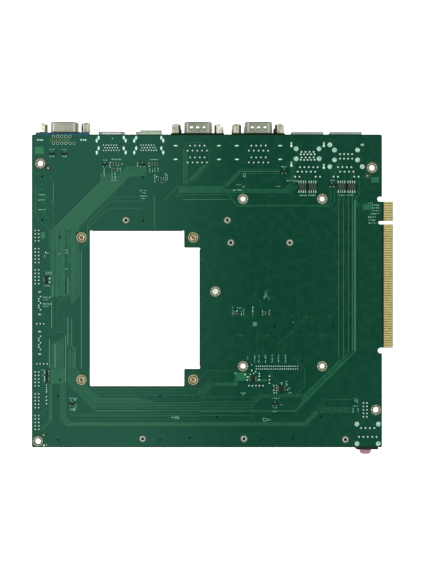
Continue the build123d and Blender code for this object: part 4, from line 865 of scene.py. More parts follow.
PRINT = [  # blocks of small marks: lowest corner, highest corner, and which way their rows run
    ((9.9, 171.4), (12.9, 172.2), 0), ((10.0, 167.3), (13.0, 168.1), 0),
    ((17.2, 171.4), (20.2, 172.2), 0), ((17.2, 167.3), (20.2, 168.1), 0),
    ((40.6, 165.3), (43.6, 166.1), 0), ((45.8, 165.7), (51.8, 166.6), 0),
    ((41.4, 156.0), (42.2, 161.2), 1), ((45.9, 153.3), (46.8, 158.6), 1),
    ((47.7, 153.3), (48.6, 158.6), 1), ((49.2, 158.6), (49.9, 161.2), 1),
    ((50.7, 158.6), (51.5, 161.2), 1),
    ((67.8, 165.6), (72.8, 166.4), 0), ((67.6, 158.5), (68.4, 161.2), 1),
    ((69.3, 158.5), (70.0, 161.2), 1), ((70.7, 158.5), (71.4, 161.2), 1),
    ((72.4, 158.5), (73.2, 161.2), 1), ((70.6, 152.6), (71.4, 157.6), 1),
    ((76.7, 154.0), (77.4, 158.0), 1), ((74.0, 152.4), (75.6, 153.0), 0),
    ((61.8, 147.8), (66.2, 148.5), 0), ((63.4, 146.6), (65.8, 147.1), 0),
    ((61.8, 144.6), (66.4, 145.3), 0), ((63.2, 143.2), (65.6, 143.9), 0),
    ((3.4, 145.3), (7.5, 146.2), 0), ((3.4, 142.3), (7.5, 143.1), 0),
    ((3.6, 136.7), (7.8, 137.5), 0), ((143.8, 161.5), (147.0, 162.3), 0),
    ((146.8, 153.4), (149.8, 154.4), 0), ((150.6, 153.2), (153.4, 154.2), 0),
    ((171.6, 153.6), (174.6, 154.4), 0), ((154.0, 145.0), (158.6, 145.8), 0),
    ((159.4, 145.0), (163.8, 145.8), 0), ((176.0, 145.0), (180.4, 145.8), 0),
    ((181.4, 145.0), (185.6, 145.8), 0), ((118.0, 151.2), (120.8, 151.8), 0),
    ((121.5, 150.0), (122.9, 150.7), 0), ((115.8, 148.0), (117.2, 148.8), 0),
    ((118.4, 148.2), (120.8, 148.9), 0), ((140.6, 150.2), (143.0, 150.8), 0),
    ((196.2, 139.3), (200.4, 140.2), 0), ((196.2, 137.7), (200.4, 138.5), 0),
    ((196.2, 136.1), (200.4, 136.9), 0), ((195.0, 134.2), (200.4, 135.2), 0),
    ((193.4, 140.6), (196.6, 141.2), 0), ((194.0, 132.3), (198.4, 133.4), 0),
    ((193.8, 130.6), (198.2, 131.6), 0), ((193.6, 129.0), (198.0, 129.9), 0),
    ((7.4, 111.6), (9.8, 112.4), 0), ((7.0, 109.2), (7.7, 111.0), 1),
    ((8.0, 99.4), (11.6, 101.6), 0), ((6.8, 92.8), (10.6, 93.6), 0),
    ((19.2, 113.4), (20.6, 114.2), 0), ((19.2, 111.9), (20.6, 112.7), 0),
    ((19.0, 102.6), (20.6, 103.3), 0), ((14.3, 111.1), (16.4, 111.9), 0),
    ((6.2, 86.0), (11.2, 87.0), 0), ((6.4, 84.8), (9.8, 85.4), 0),
    ((6.2, 82.3), (11.2, 83.3), 0), ((6.4, 81.0), (9.6, 81.7), 0),
    ((115.5, 75.6), (116.2, 81.2), 1), ((118.2, 80.0), (121.0, 80.8), 0),
    ((121.9, 75.5), (122.6, 79.8), 1), ((127.1, 77.6), (127.9, 81.2), 1),
    ((127.1, 75.4), (127.7, 77.4), 1), ((132.7, 75.9), (133.4, 79.2), 1),
    ((136.7, 76.2), (137.4, 79.4), 1), ((150.4, 71.6), (151.0, 72.8), 1),
    ((133.8, 85.4), (134.3, 87.0), 1), ((136.4, 84.8), (137.0, 86.8), 1),
    ((124.0, 50.4), (124.8, 52.6), 1), ((128.2, 48.6), (129.0, 53.2), 1),
    ((130.5, 48.6), (131.4, 53.4), 1), ((134.4, 48.6), (135.2, 53.4), 1),
    ((138.3, 48.6), (139.1, 53.4), 1), ((141.9, 48.6), (142.7, 53.4), 1),
    ((145.9, 48.6), (146.8, 53.4), 1), ((126.5, 46.2), (127.2, 48.2), 1),
    ((116.4, 42.3), (117.8, 43.0), 0), ((146.4, 35.4), (147.6, 38.2), 1),
    ((143.6, 36.0), (144.8, 37.4), 1), ((147.4, 31.1), (149.6, 31.8), 0),
    ((21.2, 28.0), (26.5, 28.7), 0), ((22.0, 21.0), (25.0, 21.6), 0),
    ((80.4, 16.8), (81.8, 17.6), 0), ((82.4, 16.4), (84.9, 18.2), 0),
    ((138.3, 27.9), (142.4, 28.6), 0), ((138.5, 22.5), (141.4, 23.2), 0),
    ((138.6, 20.3), (141.4, 21.0), 0), ((143.0, 24.2), (144.4, 24.8), 0),
    ((120.2, 31.0), (123.5, 31.6), 0), ((121.6, 29.6), (122.2, 31.0), 1),
    ((186.0, 26.4), (186.9, 28.2), 1), ((187.4, 25.4), (188.2, 27.8), 1),
    ((184.9, 23.4), (188.0, 24.2), 0), ((184.9, 19.8), (185.7, 22.6), 1),
    ((187.8, 20.0), (188.5, 22.6), 1), ((46.0, 177.4), (46.8, 178.6), 1),
    ((60.6, 161.9), (61.5, 164.5), 1), ((22.0, 26.6), (23.0, 28.0), 1), ((24.4, 26.6), (25.6, 28.0), 1),
    ((22.2, 21.4), (25.6, 22.8), 0),
]
# small tinned lands: x, y and width
SPOTS = [(8.5, 36.0, 0.5), (8.5, 34.6, 0.5), (8.5, 33.3, 0.5), (8.5, 32.0, 0.6), (7.0, 1.1, 0.9),
         (8.5, 1.4, 0.5), (141.2, 35.8, 0.5), (139.6, 35.6, 0.6), (141.2, 34.2, 0.5),
         (139.6, 33.0, 0.7), (141.2, 32.7, 0.5), (139.8, 31.6, 0.6), (141.2, 31.4, 0.5),
         (147.6, 33.2, 0.5), (148.6, 34.0, 0.5), (126.9, 44.4, 0.7), (129.1, 43.6, 0.7),
         (127.9, 42.6, 0.6), (126.0, 42.0, 0.6), (131.2, 42.6, 0.7), (131.2, 41.0, 0.7),
         (131.0, 39.0, 0.8), (124.6, 40.6, 0.8), (124.3, 38.8, 0.7), (122.9, 42.0, 0.7),
         (7.3, 44.2, 0.6), (7.3, 42.9, 0.6), (7.3, 40.7, 0.6), (7.3, 39.5, 0.6), (7.3, 38.4, 0.6),
         (6.2, 41.6, 0.4), (5.8, 44.6, 0.4), (9.9, 44.0, 0.4), (9.9, 40.4, 0.4),
         (10.3, 97.4, 0.8), (10.2, 95.2, 0.8), (8.0, 112.6, 0.5), (67.4, 163.9, 0.5),
         (67.6, 162.2, 0.5), (45.3, 164.2, 0.6), (44.8, 162.8, 0.5),
         (52.0, 163.4, 0.5), (45.2, 161.8, 0.5), (49.8, 162.4, 0.4),
         (75.9, 155.0, 0.6), (72.1, 156.1, 0.6), (118.4, 78.8, 0.6), (120.9, 76.4, 0.5)]
TEST_PADS = [((127.6, 69.9), (129.8, 72.3)), ((134.3, 86.6), (135.7, 89.4)),
             ((134.6, 88.4), (135.5, 90.0))]
OUTLINES = [  # thin printed lines
    [(133.5, 15.1), (137.9, 15.9), (133.5, 16.9), (133.5, 15.1)],
    [(122.0, 157.4), (122.9, 158.0), (123.4, 157.0), (122.9, 156.0), (122.0, 156.4), (122.0, 157.4)],
    [(76.9, 158.0), (78.2, 157.0), (78.2, 154.6), (76.9, 153.6)],
    [(21.6, 24.6), (22.6, 25.4), (24.6, 25.4), (25.6, 24.6), (25.6, 23.4), (24.6, 22.6)],
]

MARK_PITCH = 0.9


def printed_marks():
    """Every block is cut into marks one pitch apart, each a short bar and a shorter cross stroke
    whose places in the mark are drawn at random."""
    low, high = [], []
    for (x0, y0), (x1, y1), upright in PRINT:
        start, stop = (y0, y1) if upright else (x0, x1)
        count = max(1, int(round((stop - start) / MARK_PITCH)))
        along = start + (np.arange(count) + 0.5) * (stop - start) / count
        across_low, across_high = (x0, x1) if upright else (y0, y1)
        tall = across_high - across_low
        lane = across_low + rng.uniform(0.0, 0.45, (2, count)) * tall
        reach = np.stack([lane[0] * 0 + across_low + tall * 0.9, lane[1] + 0.28])
        offset = rng.uniform(-0.30, 0.18, (2, count))
        thick = np.stack([np.full(count, 0.24), rng.uniform(0.35, 0.62, count)])
        for k in range(2):
            a, b = along + offset[k], along + offset[k] + thick[k]
            c, d = lane[k], reach[k]
            pair = ((c, a), (d, b)) if upright else ((a, c), (b, d))
            low.append(np.stack(pair[0], -1))
            high.append(np.stack(pair[1], -1))
    low, high = np.concatenate(low), np.concatenate(high)
    return boxes(at(*low.T, 0.0), at(*high.T, 0.045))


def lands():
    """Square tinned lands and three dull test pads."""
    x, y, width = np.array(SPOTS).T
    make("small_lands", [boxes(at(x - width / 2, y - width / 2, 0.0),
                               at(x + width / 2, y + width / 2, 0.10))], SOLDER, "solder",
         bevel=0.04)
    low, high = np.array(TEST_PADS).transpose(1, 2, 0)
    make("test_pads", [boxes(at(*low, 0.0), at(*high, 0.05))],
         metal("masked test pad", (0.045, 0.115, 0.08), (0.11, 0.24, 0.175), 0.45, 0.05, 1500.0,
               0.3), "solder")


make("printed_marks", [printed_marks()], SILK, "green_board")
lands()
make("printed_lines", [strip(path, 0.18, 0.05) for path in OUTLINES], SILK, "green_board",
     closed=False)


# ---------------------------------------------------------------- small parts on the solder face
def small_parts():
    """Chip resistors and capacitors: a dark body between two wetted, rounded caps."""
    low, high = corners("resistors_and_capacitors")
    caps_low, caps_high = np.repeat(low, 2, 0), np.repeat(high, 2, 0)
    cap = 0.42 * MM
    caps_high[0::2, 1] = caps_low[0::2, 1] + cap
    caps_low[1::2, 1] = caps_high[1::2, 1] - cap
    shrink = np.array([0.05, 0.1, 0.0]) * MM
    make("chip_part_bodies", [boxes(low + shrink, high - shrink - (0, 0, 0.06 * MM))],
         CERAMIC, "chip_ceramic", ["resistors_and_capacitors"], bevel=0.04)
    make("chip_part_caps", [boxes(caps_low, caps_high)], DIM_PAD, "solder", bevel=0.12)


def plump(low, high, swell=0.10):
    """A moulded body of four rings: full at its waist, drawn in by swell at its foot and top."""
    low, high = np.atleast_2d(low), np.atleast_2d(high)
    height = (high - low)[:, 2]
    inset = np.array([swell, 0.0, 0.0, swell * 1.3]) * MM
    level = np.array([0.0, 0.42, 0.58, 1.0])
    sign = np.array([[-1, -1], [1, -1], [1, 1], [-1, 1]])
    centre, half = (low + high)[:, :2] / 2, (high - low)[:, :2] / 2
    points = np.empty((len(low), 4, 4, 3))
    points[..., :2] = centre[:, None, None] + (half[:, None, None] - inset[:, None, None]) * sign
    points[..., 2] = low[:, 2, None, None] + height[:, None, None] * level[:, None]
    caps = np.array([[3, 2, 1, 0], [12, 13, 14, 15]])
    faces = grid_faces(len(low), 4, 4)
    faces.append((caps[None] + (np.arange(len(low)) * 16)[:, None, None]).reshape(-1, 4))
    return points, faces


def gull_wings(roots, side, width, reach, drop, thick=0.18):
    """Bent legs: a strip that leaves the body level, falls, and lies flat on its pad.

    The strip's middle line is six points in the plane of side and height, and its two faces are
    half a thickness above and below that line."""
    middle = np.array([(0.0, 1.0), (0.22, 0.98), (0.42, 0.30), (0.52, 0.06), (0.70, 0.0),
                       (1.0, 0.0)]) * (reach, drop)
    bend = np.array([(0.0, 1.0), (0.6, 0.8), (0.9, 0.4), (0.8, 0.6), (0.2, 1.0), (0.0, 1.0)])
    top, bottom = middle + bend * thick / 2, middle - bend * thick / 2
    loop = np.concatenate([top, bottom[::-1]])
    points = np.empty((len(roots), 2, len(loop), 3))
    points[..., 0] = roots[:, 0, None, None] + np.array([-0.5, 0.5])[None, :, None] * width * MM
    points[..., 1] = roots[:, 1, None, None] + side[:, None, None] * loop[:, 0] * MM
    points[..., 2] = roots[:, 2, None, None] + (loop[:, 1] + thick / 2) * MM
    n = len(loop)
    end = np.array([[k, k + 1, n - 2 - k, n - 1 - k] for k in range(n // 2 - 1)])
    ends = np.concatenate([end[:, ::-1], end + n])
    faces = grid_faces(len(roots), 2, n)
    faces.append((ends[None] + (np.arange(len(roots)) * 2 * n)[:, None, None]).reshape(-1, 4))
    return points, faces


def legs_of(low, high, per_side, pitch):
    """Leg roots along both long sides of each body, and the way that each leg points."""
    centre = (low + high) / 2
    offset = (np.arange(per_side) - (per_side - 1) / 2) * pitch * MM
    roots, sides = [], []
    for side, edge in ((-1, low), (1, high)):
        root = np.empty((len(low), per_side, 3))
        root[..., 0] = centre[:, :1] + offset
        root[..., 1] = edge[:, 1:2] - side * 0.06 * MM
        root[..., 2] = low[:, 2:]
        roots.append(root.reshape(-1, 3))
        sides.append(np.full(len(low) * per_side, side))
    return np.concatenate(roots), np.concatenate(sides)


def pads(roots, sides, width, near, far):
    """Solder lands with a low fillet of solder, from near to far beyond each leg's root."""
    low, high = roots.copy(), roots.copy()
    low[:, 0] -= width / 2 * MM
    high[:, 0] += width / 2 * MM
    ends = np.stack([roots[:, 1] + sides * near * MM, roots[:, 1] + sides * far * MM])
    low[:, 1], high[:, 1] = ends.min(0), ends.max(0)
    low[:, 2], high[:, 2] = SOLDER_FACE, SOLDER_FACE + 0.12 * MM
    return boxes(low, high)


BODY_LIFT = np.array([0, 0, 0.12 * MM])  # the gap below a chip's body


def driver_chips():
    """Four drivers with eight bent legs each, and a dimple beside the first leg."""
    low, high = corners("driver_chips")
    roots, sides = legs_of(low, high, 4, 1.27)
    trim = np.array([0.22, 0, 0]) * MM
    make("driver_bodies", [plump(low + BODY_LIFT + trim, high - trim)], EPOXY, "chip_black",
         ["driver_chips"], bevel=0.08)
    make("driver_leads", [gull_wings(roots, sides, 0.42, 1.2, 0.62)], TIN, "tinned_tabs",
         ["driver_legs"])
    make("driver_lands", [pads(roots, sides, 0.46, 0.60, 1.55)], SOLDER, "solder", bevel=0.06)
    dots = np.stack([low[:, 0] + 0.7 * MM, low[:, 1] + 0.7 * MM, high[:, 2] - 0.02 * MM], -1)
    make("driver_dimples", [turned(dots, disc(0.32, 0.03), 12)], HOLE, "chip_black")


def small_chips():
    """Square and narrow chips, whose legs stand along their left and right sides."""
    low, high = corners("small_chips")
    square = (high - low)[:, 0] > 2.5 * MM
    for name, chosen, pitch in (("square", square, 0.8), ("narrow", ~square, 0.65)):
        make(f"{name}_chip_bodies", [plump(low[chosen] + BODY_LIFT, high[chosen], swell=0.06)],
             DARK_EPOXY, "chip_black", ["small_chips"] if name == "square" else [], bevel=0.06)
        flipped = low[chosen][:, [1, 0, 2]], high[chosen][:, [1, 0, 2]]
        roots, sides = legs_of(*flipped, 4, pitch)
        wings, faces = gull_wings(roots, sides, 0.24, 0.5, 0.30, 0.12)
        feet, foot_faces = pads(roots, sides, 0.30, 0.15, 0.70)
        make(f"{name}_chip_leads", [(wings[..., [1, 0, 2]], faces)], TIN, "tinned_tabs")
        make(f"{name}_chip_lands", [(feet[..., [1, 0, 2]], foot_faces)], GREY_PAD, "solder")


def transistors():
    """Three-leg bodies: two legs on one side and one on the other."""
    low, high = corners("transistors")
    make("transistor_bodies", [plump(low + BODY_LIFT, high, swell=0.08)], DARK_EPOXY, "chip_black",
         ["transistors"], bevel=0.06)
    roots, sides = legs_of(low, high, 3, 0.95)
    keep = np.tile([True, False, True], len(low))
    keep = np.concatenate([keep, ~keep])
    roots, sides = roots[keep], sides[keep]
    make("transistor_leads", [gull_wings(roots, sides, 0.36, 0.50, 0.42, 0.14)], GREY_PAD,
         "tinned_tabs")
    make("transistor_lands", [pads(roots, sides, 0.46, 0.1, 0.75)], GREY_PAD, "solder", bevel=0.05)


small_parts()
driver_chips()
small_chips()
transistors()


# ---------------------------------------------------------------- sockets along the top edge
BACK_EDGE = 180.5  # the edge that the sockets stand along
D_WIDE, D_TALL, D_ROUND, D_WALL, D_SLANT = 17.3, 8.4, 2.4, 0.4, np.radians(10)
D_FLANGE = (30.8, 12.5)
D_SCREWS, D_SCREW_LENGTH = 12.5, 6.2  # from the middle to each screw, and its length


def d_shell(x, z, base, tip):
    """One drawn D-shaped shell with a rolled lip, its long side away from the board."""
    outline, outward = d_outline()
    steps = [(-0.7, base), (-0.5, base + 0.25), (-0.12, base + 0.6), (0.0, base + 1.1),
             (0.0, tip - 0.35), (0.06, tip - 0.1), (0.2, tip), (D_WALL - 0.06, tip - 0.1),
             (D_WALL, tip - 0.4), (D_WALL, base)]
    return loft(outline, outward, steps, x, z)


def d_outline():
    """A D's outline: a trapezium whose sides lean in by the slant, with rounded corners."""
    half, tall = D_WIDE / 2, D_TALL / 2
    slope = D_TALL * np.tan(D_SLANT)
    return rounded([(-half, -tall), (half, -tall), (half - slope, tall), (-half + slope, tall)],
                   D_ROUND, 8)


def d_lip(x, z, tip):
    """The shaded roll at the mouth of a D shell."""
    return loft(*d_outline(), [(-0.03, tip - 0.42), (-0.03, tip - 0.06), (0.16, tip + 0.02),
                               (0.34, tip - 0.06), (0.34, tip - 0.42)], x, z)


def flange(x, z, back, front, drop):
    """The pressed front plate round a D shell: a rounded rectangle with a hole for the shell."""
    wide, tall = D_FLANGE[0] / 2 - 0.05, D_FLANGE[1] / 2
    plate, out = rounded([(-wide, -tall + 0.05), (wide, -tall + 0.05), (wide, tall - drop),
                          (-wide, tall - drop)], 1.2, 6)
    return loft(plate, out, [(0.0, back), (0.0, front - 0.08), (0.08, front), (5.0, front),
                             (5.0, back)], x, z)


def screws(places, long):
    """Hexagonal jack screws with a turned collar, a domed end and a threaded bore."""
    bore = [(1.22 - 0.1 * (k % 2), long - 0.5 - 0.35 * k) for k in range(8)]
    profile = [(0.0, 0.0), (2.2, 0.0), (2.2, 0.5), (2.75, 0.6), (2.75, long - 1.1),
               (2.55, long - 0.35), (2.1, long), (1.45, long), (1.3, long - 0.25), *bore,
               (0.0, long - 3.4)]
    return turned(all_at(places), profile, 6, axis=1)


def video_socket():
    """The video socket's drawn shell, front plate, rim, right screw and pin holes. Gives the roll
    at its mouth and the place of its left screw, which are made along with the serial plugs'."""
    low, high = mm_box("vga_shell")
    x, z = (low[0] + high[0]) / 2, (low[2] + high[2]) / 2
    face, tip = high[1] - 5.8, high[1] + 0.5
    make("vga_drawn_shell", [d_shell(x + 0.4, z, face, tip)], NICKEL, "nickel_shells",
         ["vga_shell"], smooth=True)
    make("vga_front_plate", [flange(x, z, face - 0.4, face, 0.42)], NICKEL, "nickel_shells",
         smooth=True)
    video_rim(x, face)
    left, right = ((x + 0.45 + side * D_SCREWS, face, z) for side in (-1, 1))
    make("vga_hex_screws", [screws([right], tip - face)], STEEL, "steel_screws",
         ["vga_jackscrews"], bevel=0.12)
    holes = [(x + (i - 2) * 2.29 + shift, high[1] - 0.35, z + level)
             for level, shift in ((-1.98, 0.57), (0.0, -0.57), (1.98, 0.57)) for i in range(5)]
    make("vga_pin_holes", [turned(all_at(holes), disc(0.42, 0.04), 12, axis=1)], HOLE,
         "blue_plastic")
    return d_lip(x + 0.4, z, tip), left


def video_rim(x, face):
    """The blue rim past the board's edge, a thin line of it on the board, and its shaded part."""
    low, high = mm_box("vga_housing")
    make("vga_blue_rim", [boxes(at(low[0] + 0.1, BACK_EDGE, -1.98),
                                at(high[0] + 0.3, face - 0.1, -1.35)),
                          boxes(at(low[0] + 0.1, BACK_EDGE - 0.4, 0.0),
                                at(high[0], BACK_EDGE, 0.012))], RIM_BLUE, "blue_plastic")
    make("vga_rim_shade", [boxes(at(x - 5.6, face - 0.6, -1.4), at(x + 10.6, face + 0.1, -1.3))],
         ink("shaded rim", (0.002, 0.016, 0.028), (0.006, 0.028, 0.044), 0.5,
             Specular_IOR_Level=0.1), "blue_plastic")


def serial_stacks(video_lip, video_bolt):
    """Two stacks of two serial plugs each: shells, plates, black rims, screws and dimples. The second
    screw of the first stack and the video socket's left one are in a paler nickel that is a painted
    highlight."""
    lips, dimples, shells, plates, bolts = [video_lip], [], [], [], []
    for stack in (1, 2):
        low, high = mm_box(f"com_stack_{stack}_shells")
        x = (low[0] + high[0]) / 2
        face, tip = high[1] - 6.1, high[1] + 0.9
        for z in (high[2] - D_FLANGE[1] / 2, low[2] + D_FLANGE[1] / 2):
            shells.append(d_shell(x + 0.3, z, face, tip))
            lips.append(d_lip(x + 0.3, z, tip))
            plates.append(flange(x, z, face - 0.4, face, 0.3))
            bolts += [(x + side * D_SCREWS, face, z) for side in (-1, 1)]
            dimples += [(x + 0.2 + k * 3.7, high[1] - 2.4, z + D_TALL / 2 - 0.03) for k in (-1, 0, 1)]
        make(f"com_stack_{stack}_black_rim",
             [boxes(at(low[0] + 0.1, BACK_EDGE + 0.02, -1.95), at(high[0] - 0.1, face + 0.12, -1.6))],
             BLACK_HOLE, "black_plastic", bevel=0.1)
    make("com_drawn_shells", shells, DULL_NICKEL, "nickel_shells",
         ["com_stack_1_shells", "com_stack_2_shells"], smooth=True)
    make("com_front_plates", plates, NICKEL, "nickel_shells", smooth=True)
    make("socket_lips", lips, DARK_NICKEL, "nickel_shells", smooth=True)
    make("com_hex_screws", [screws([bolts[0], *bolts[2:]], D_SCREW_LENGTH)], STEEL, "steel_screws",
         ["com_stack_1_jackscrews", "com_stack_2_jackscrews"], bevel=0.12)
    # Painted highlight: these two screws get a much paler nickel.
    make("painted_highlight_hex_screws", [screws([video_bolt, bolts[1]], D_SCREW_LENGTH)],
         metal("nickel with a painted highlight on a screw", (0.42, 0.42, 0.33), (0.86, 0.85, 0.74), 0.26, 0.10),
         "steel_screws", bevel=0.12)
    shell_dimples(np.array(dimples))


def shell_dimples(places):
    """Dimples pressed into the serial shells, in pale nickel that is a painted highlight, each with a
    shaded edge.
    """
    dents = all_at(places + (0.0, -0.85, 0.0))
    make("com_dimple_shade", [stretched(turned(dents, disc(0.42, 0.05), 14), dents, 0, 1.8)],
         DARK_NICKEL, "nickel_shells")
    # The dimples' pale nickel is a painted highlight; the dark ovals below them are painted shadow.
    make("com_shell_dimples",
         [turned(all_at(places), [(0, 0.0), (0.86, 0.0), (0.72, 0.16), (0.45, 0.26), (0.0, 0.30)],
                 16)],
         metal("dimple with a painted highlight", (0.70, 0.70, 0.58), (0.92, 0.91, 0.82), 0.22), "nickel_shells",
         smooth=True)


def audio_barrels():
    """Barrels of the two audio jacks with a collar and a rounded mouth, the lower one shorter."""
    for colour, finish in (("pink", PINK), ("green", LIME)):
        low, high = mm_box(f"audio_barrel_{colour}")
        centre = at((low[0] + high[0]) / 2 - 0.3, low[1], (low[2] + high[2]) / 2)
        reach = 1.0 if colour == "pink" else 0.7
        mouth = [(r, 2.55 - fall * reach) for r, fall in
                 ((1.8, 0.0), (3.45, 0.0), (3.45, 1.35), (3.3, 1.5), (3.3, 2.15), (3.1, 2.75),
                  (2.7, 3.17), (2.2, 3.25), (1.9, 2.85), (1.8, 2.35), (1.8, 0.0))]
        make(f"audio_mouth_{colour}", [turned(centre, mouth, 40, axis=1)], finish,
             "pink_plastic" if colour == "pink" else "lime_plastic", [f"audio_barrel_{colour}"],
             smooth=True)


serial_stacks(*video_socket())
audio_barrels()


# ---------------------------------------------------------------- sockets on the component face
def contact_row(start, step, count, size):
    """Equal small blades: the first one's lowest corner, the step to the next, their size."""
    low = np.array(start) + np.arange(count)[:, None] * np.array(step)
    return boxes(at(*low.T), at(*(low + size).T))


def tab_surface():
    """Bare laminate between the edge contacts, and the bevel along the tab's end."""
    low, high = mm_box("tab_contacts_solder_side")
    ends = mm_box("board")[1][0]
    rows = np.sort(in_mm(middles("tab_contacts_solder_side"))[:, 1])
    key = np.argmax(np.diff(rows))
    bottoms = np.array([low[1] - 0.2, rows[key + 1] - 0.42])
    tops = np.array([rows[key] + 0.42, high[1] + 0.2])
    make("tab_laminate", [boxes(at(low[0] + 0.1, bottoms, 0.0), at(ends - 1.1, tops, 0.02))],
         OLIVE, "gold_contacts")
    make("tab_bevel", [boxes(at(ends - 1.1, bottoms, 0.0), at(ends - 0.02, tops, 0.03))],
         BEVEL, "green_board")
    between = np.delete(rows[:-1] + 0.5, key)
    make("tab_gaps", [boxes(at(low[0] + 0.1, between - 0.2, 0.0),
                            at(high[0] - 0.1, between + 0.2, 0.056))], OLIVE, "gold_contacts")


def printed_frame(low, high):
    """A printed rectangle on the component face, between two corners."""
    return strip([(low[0], low[1]), (high[0], low[1]), (high[0], high[1]), (low[0], high[1]),
                  (low[0], low[1])], 0.2, -BOARD_T - 0.03)


def card_sockets():
    """Spring contacts inside each card slot and soldered leads along the socket's two sides."""
    contacts, leads, pegs, outlines = [], [], [], []
    for number in range(1, 8):
        low, high = mm_box(f"card_socket_{number}")
        along = 1 if high[1] - low[1] > high[0] - low[0] else 0
        across = 1 - along
        mouth = low[2] + 1.9  # the slot's middle, above the socket's lower face
        first = low[along] + 2.6
        count = 31
        for side in (-1, 1):
            start = np.array([0.0, 0.0, mouth + side * 0.5 - 0.1])
            start[along], start[across] = first + 0.4 * (side > 0), high[across] - 2.9
            step, size = np.zeros(3), np.array([0.0, 0.0, 0.2])
            step[along], size[along], size[across] = 0.8, 0.36, 2.2
            contacts.append(contact_row(start, step, count, size))
            start[2] = -BOARD_T - 0.22
            start[across] = low[across] - 1.0 if side < 0 else high[across] - 0.1
            size[2], size[across] = 0.2, 1.1
            leads.append(contact_row(start, step, count, size))
        outlines.append(printed_frame(low[:2] - (1.3, 0.6), high[:2] + (1.3, 0.6)))
        for end in (low[along] - 0.9, high[along] + 0.9):
            place = np.array([0.0, 0.0, -BOARD_T - 0.4])
            place[along], place[across] = end, (low[across] + high[across]) / 2
            pegs.append(place)
    make("card_slot_contacts", contacts, GOLD, "gold_contacts")
    make("card_socket_leads", leads, TIN, "tinned_tabs")
    make("card_socket_solder_lugs",
         [turned(all_at(pegs), [(0, -0.3), (1.2, -0.3), (1.5, 0.1), (1.5, 0.4),
                                         (0, 0.4)], 14)], SOLDER, "solder")
    return outlines


def module_contacts():
    """Two staggered rows of spring contacts in the long module socket, and its leads."""
    low, high = mm_box("module_socket")
    count = 150
    step = (0.0, 0.53, 0.0)
    start = low[1] + 5.0
    rows = [contact_row((high[0] - 3.4, start + 0.26 * (side > 0), low[2] + 3.3 + side * 0.55),
                        step, count, (2.8, 0.24, 0.18)) for side in (-1, 1)]
    make("module_slot_contacts", rows, GOLD, "gold_contacts")
    leads = [contact_row((x, start, -BOARD_T - 0.2), step, count, (1.1, 0.24, 0.18))
             for x in (low[0] - 1.0, high[0] - 0.1)]
    make("module_socket_leads", leads, TIN, "tinned_tabs")


def front_contacts():
    """Contacts inside the sockets of the long edge and on the two disk sockets' blades."""
    gold = []
    for number in (1, 2):
        low, high = mm_box(f"hdmi_{number}_shell")
        x = (low[0] + high[0]) / 2
        for side, count in ((-1, 9), (1, 10)):
            gold.append(contact_row((x - (count - 1) / 2 - 0.2, high[1] - 7.6,
                                     -4.6 + side * 0.74 - 0.04), (1.0, 0, 0), count,
                                    (0.4, 5.6, 0.08)))
        low, high = mm_box(f"lan_usb_{number}_can")
        x = (low[0] + high[0]) / 2
        for z in (4.6, 11.4):
            gold.append(contact_row((x - 3.6, high[1] - 9.6, -BOARD_T - z - 1.05), (2.2, 0, 0), 4,
                                    (1.0, 7.0, 0.1)))
        gold.append(contact_row((x - 3.82, high[1] - 10.4, -BOARD_T - 19.9), (1.02, 0, 0), 8,
                                (0.36, 8.6, 0.3)))
    make("edge_socket_contacts", gold, GOLD, "gold_contacts")
    blades = []
    for number in (1, 2):
        low, high = mm_box(f"drive_socket_{number}")
        x = (low[0] + high[0]) / 2
        blades.append(contact_row((x + 0.5, (low[1] + high[1]) / 2 - 4.0, low[2] + 0.8),
                                  (0, 1.27, 0), 7, (0.16, 0.6, 5.0)))
    make("disk_socket_contacts", blades, GOLD, "gold_contacts")


def can_collars():
    """A bent gasket sheet round the mouth of each network can, and its spring fingers."""
    collars, fingers = [], []
    for number in (1, 2):
        low, high = mm_box(f"lan_usb_{number}_can")
        x, z = (low[0] + high[0]) / 2, (low[2] + high[2]) / 2
        half, tall = (high[0] - low[0]) / 2, (high[2] - low[2]) / 2 + 0.01
        outline, outward = rounded([(-half, -tall), (half, -tall), (half, tall), (-half, tall)],
                                   0.5, 4)
        collars.append(loft(outline, outward, [(0.0, high[1] - 1.35), (-0.06, high[1] - 1.2),
                                               (-0.06, high[1] - 0.3), (0.1, high[1] + 0.02),
                                               (0.5, high[1] + 0.02), (0.5, high[1] - 1.35)],
                             x, z))
        for side in (-1, 1):
            start = (x + side * (half - 0.28) - 0.15, high[1] - 6.6, low[2] + 4.0)
            fingers.append(contact_row(start, (0, 0, 6.4), 4, (0.34, 4.6, 1.9)))
    make("can_collars", collars, GREY_NICKEL, "nickel_shells", smooth=True)
    make("can_spring_fingers", fingers, GREY_NICKEL, "nickel_shells", bevel=0.14)


def shell_edges():
    """Shaded bends of the cans and shells where they pass the board's edge."""
    shaded = []
    for node in ("lan_usb_1_can", "lan_usb_2_can", "hdmi_1_shell", "hdmi_2_shell"):
        low, high = mm_box(node)
        for x0, x1, y0 in ((low[0], high[0], high[1] - 0.35), (low[0], low[0] + 0.4, 180.6),
                           (high[0] - 0.4, high[0], 180.6)):
            shaded.append(boxes(at(x0, y0, -1.66), at(x1, high[1] + 0.06, -1.5)))
    make("can_shaded_edges", shaded, DARK_NICKEL, "nickel_shells")


def second_mouth():
    """The ribbed sheet at the mouth of the second digital video socket."""
    low, high = mm_box("hdmi_2_shell")
    ribs = low[0] + 3.0 + np.arange(9) * 1.36
    make("second_mouth", [boxes(at(low[0] + 2.6, high[1] - 1.7, -1.7),
                                at(high[0] + 0.1, high[1] + 0.7, -1.42))],
         metal("greenish nickel of a mouth", (0.25, 0.32, 0.24), (0.37, 0.44, 0.35), 0.40, 0.12),
         "nickel_shells", bevel=0.1)
    # The ribs and the strip along the mouth's edge are in shaded nickel: painted shade.
    make("second_mouth_ribs",
         [boxes(at(ribs, high[1] - 0.5, -1.45), at(ribs + 0.34, high[1] + 0.5, -1.40)),
          boxes(at(low[0] + 2.6, high[1] + 0.5, -1.5), at(high[0] + 0.1, high[1] + 0.76, -1.38))],
         DARK_NICKEL, "nickel_shells")


